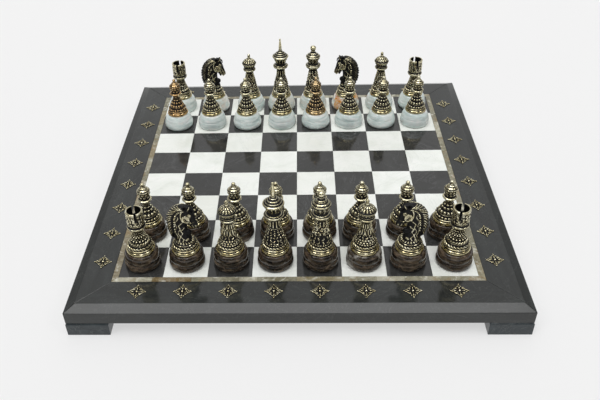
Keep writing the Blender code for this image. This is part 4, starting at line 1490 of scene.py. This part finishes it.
# ================================================================ stage, camera
def stage():
    mat, nt, bsdf = nodes_of("studio_floor")
    bsdf.inputs["Base Color"].default_value = (0.30, 0.30, 0.30, 1)
    bsdf.inputs["Emission Color"].default_value = (1.0, 1.0, 1.0, 1)
    bsdf.inputs["Emission Strength"].default_value = 0.572
    bsdf.inputs["Roughness"].default_value = 0.75
    bsdf.inputs["Specular IOR Level"].default_value = 0.2
    # wide flat ground and a backdrop that curves up out of it
    pts = [(-9, -9, 0), (9, -9, 0), (9, 9, 0), (-9, 9, 0)]
    faces = [(0, 1, 2, 3)]
    prof = [(1.8, 0.001)]
    for i in range(1, 13):
        a = math.pi / 2 * i / 12
        prof.append((1.8 + 1.2 * math.sin(a), 1.2 - 1.2 * math.cos(a)))
    prof.append((3.0, 5.0))
    for y, z in prof:
        pts += [(-1.7, y, z), (1.7, y, z)]
    for i in range(2, len(prof) + 1):
        faces.append((2 * i, 2 * i + 1, 2 * i + 3, 2 * i + 2))
    mesh = bpy.data.meshes.new("studio_floor")
    mesh.from_pydata(pts, [], faces)
    mesh.shade_smooth()
    mesh.materials.append(mat)
    floor = bpy.data.objects.new("studio_floor", mesh)
    bpy.context.scene.collection.objects.link(floor)

    world = bpy.data.worlds.new("studio")
    bpy.context.scene.world = world
    world.use_nodes = True
    tree = world.node_tree
    bg = tree.nodes["Background"]
    # bright behind the set, a dim room in front of it
    where = tree.nodes.new("ShaderNodeTexCoord").outputs["Generated"]
    split = tree.nodes.new("ShaderNodeSeparateXYZ")
    tree.links.new(where, split.inputs[0])
    half = tree.nodes.new("ShaderNodeMapRange")
    half.inputs["From Min"].default_value = -1.0
    half.inputs["From Max"].default_value = 1.0
    tree.links.new(split.outputs["Y"], half.inputs["Value"])
    ramp = tree.nodes.new("ShaderNodeValToRGB")
    el = ramp.color_ramp.elements
    stops = [(0.05, 0.16), (0.32, 0.30), (0.50, 0.55), (0.68, 0.68), (1.0, 0.70)]
    while len(el) < len(stops):
        el.new(0.5)
    for e, (at, grey) in zip(el, stops):
        e.position = at
        e.color = (grey, grey, grey, 1.0)
    tree.links.new(half.outputs["Result"], ramp.inputs["Fac"])
    side = tree.nodes.new("ShaderNodeMath")
    side.operation = "ABSOLUTE"
    tree.links.new(split.outputs["X"], side.inputs[0])
    wings = tree.nodes.new("ShaderNodeValToRGB")
    for e, (at, grey) in zip(wings.color_ramp.elements, [(0.34, 1.0), (0.62, 0.42)]):
        e.position = at
        e.color = (grey, grey, grey, 1.0)
    tree.links.new(side.outputs[0], wings.inputs["Fac"])
    both = tree.nodes.new("ShaderNodeMix")
    both.data_type = "RGBA"
    both.blend_type = "MULTIPLY"
    both.inputs[0].default_value = 1.0
    tree.links.new(ramp.outputs["Color"], both.inputs[6])
    tree.links.new(wings.outputs["Color"], both.inputs[7])
    tree.links.new(both.outputs[2], bg.inputs["Color"])
    bg.inputs["Strength"].default_value = 1.0

    def sun(name, toward, energy, angle):
        data = bpy.data.lights.new(name, "SUN")
        data.energy = energy
        data.angle = math.radians(angle)
        obj = bpy.data.objects.new(name, data)
        obj.rotation_euler = Vector(toward).to_track_quat("-Z", "Y").to_euler()
        bpy.context.scene.collection.objects.link(obj)
    sun("overhead", (0.10, 0.10, -1.0), 1.46, 50)
    sun("left_softbox", (0.62, 0.42, -0.85), 0.36, 15)
    sun("right_softbox", (-0.70, 0.30, -0.80), 0.27, 15)
    sun("front_softbox", (-0.12, 0.80, -0.78), 0.22, 16)


def camera():
    cam = np.array([0.115, -15.073, 10.736])
    yaw, pitch, roll = (math.radians(a) for a in (-2.696, 37.736, -2.117))
    focal, across = 689.5, 275.8
    fwd = np.array([math.sin(yaw) * math.cos(pitch), math.cos(yaw) * math.cos(pitch), -math.sin(pitch)])
    right = np.array([math.cos(yaw), -math.sin(yaw), 0.0])
    up = np.cross(right, fwd)
    r2 = math.cos(roll) * right + math.sin(roll) * up
    u2 = -math.sin(roll) * right + math.cos(roll) * up
    data = bpy.data.cameras.new("camera")
    data.sensor_width = 36.0
    data.lens = focal / 600 * 36.0
    data.shift_x = (300 - across) / 600
    data.clip_start = 0.01
    obj = bpy.data.objects.new("camera", data)
    m = Matrix(((r2[0], u2[0], -fwd[0], cam[0] * S),
                (r2[1], u2[1], -fwd[1], cam[1] * S),
                (r2[2], u2[2], -fwd[2], cam[2] * S + TOP),
                (0, 0, 0, 1)))
    obj.matrix_world = m
    bpy.context.scene.collection.objects.link(obj)
    bpy.context.scene.camera = obj


camera()
stage()
tiles("dark_tiles", True, "dark_squares", BLACK)
tiles("white_tiles", False, "light_squares", WHITE)
inlay()
borders()
medallions()
feet()
panel()
chess_pieces()

bpy.context.scene.view_settings.view_transform = "Standard"
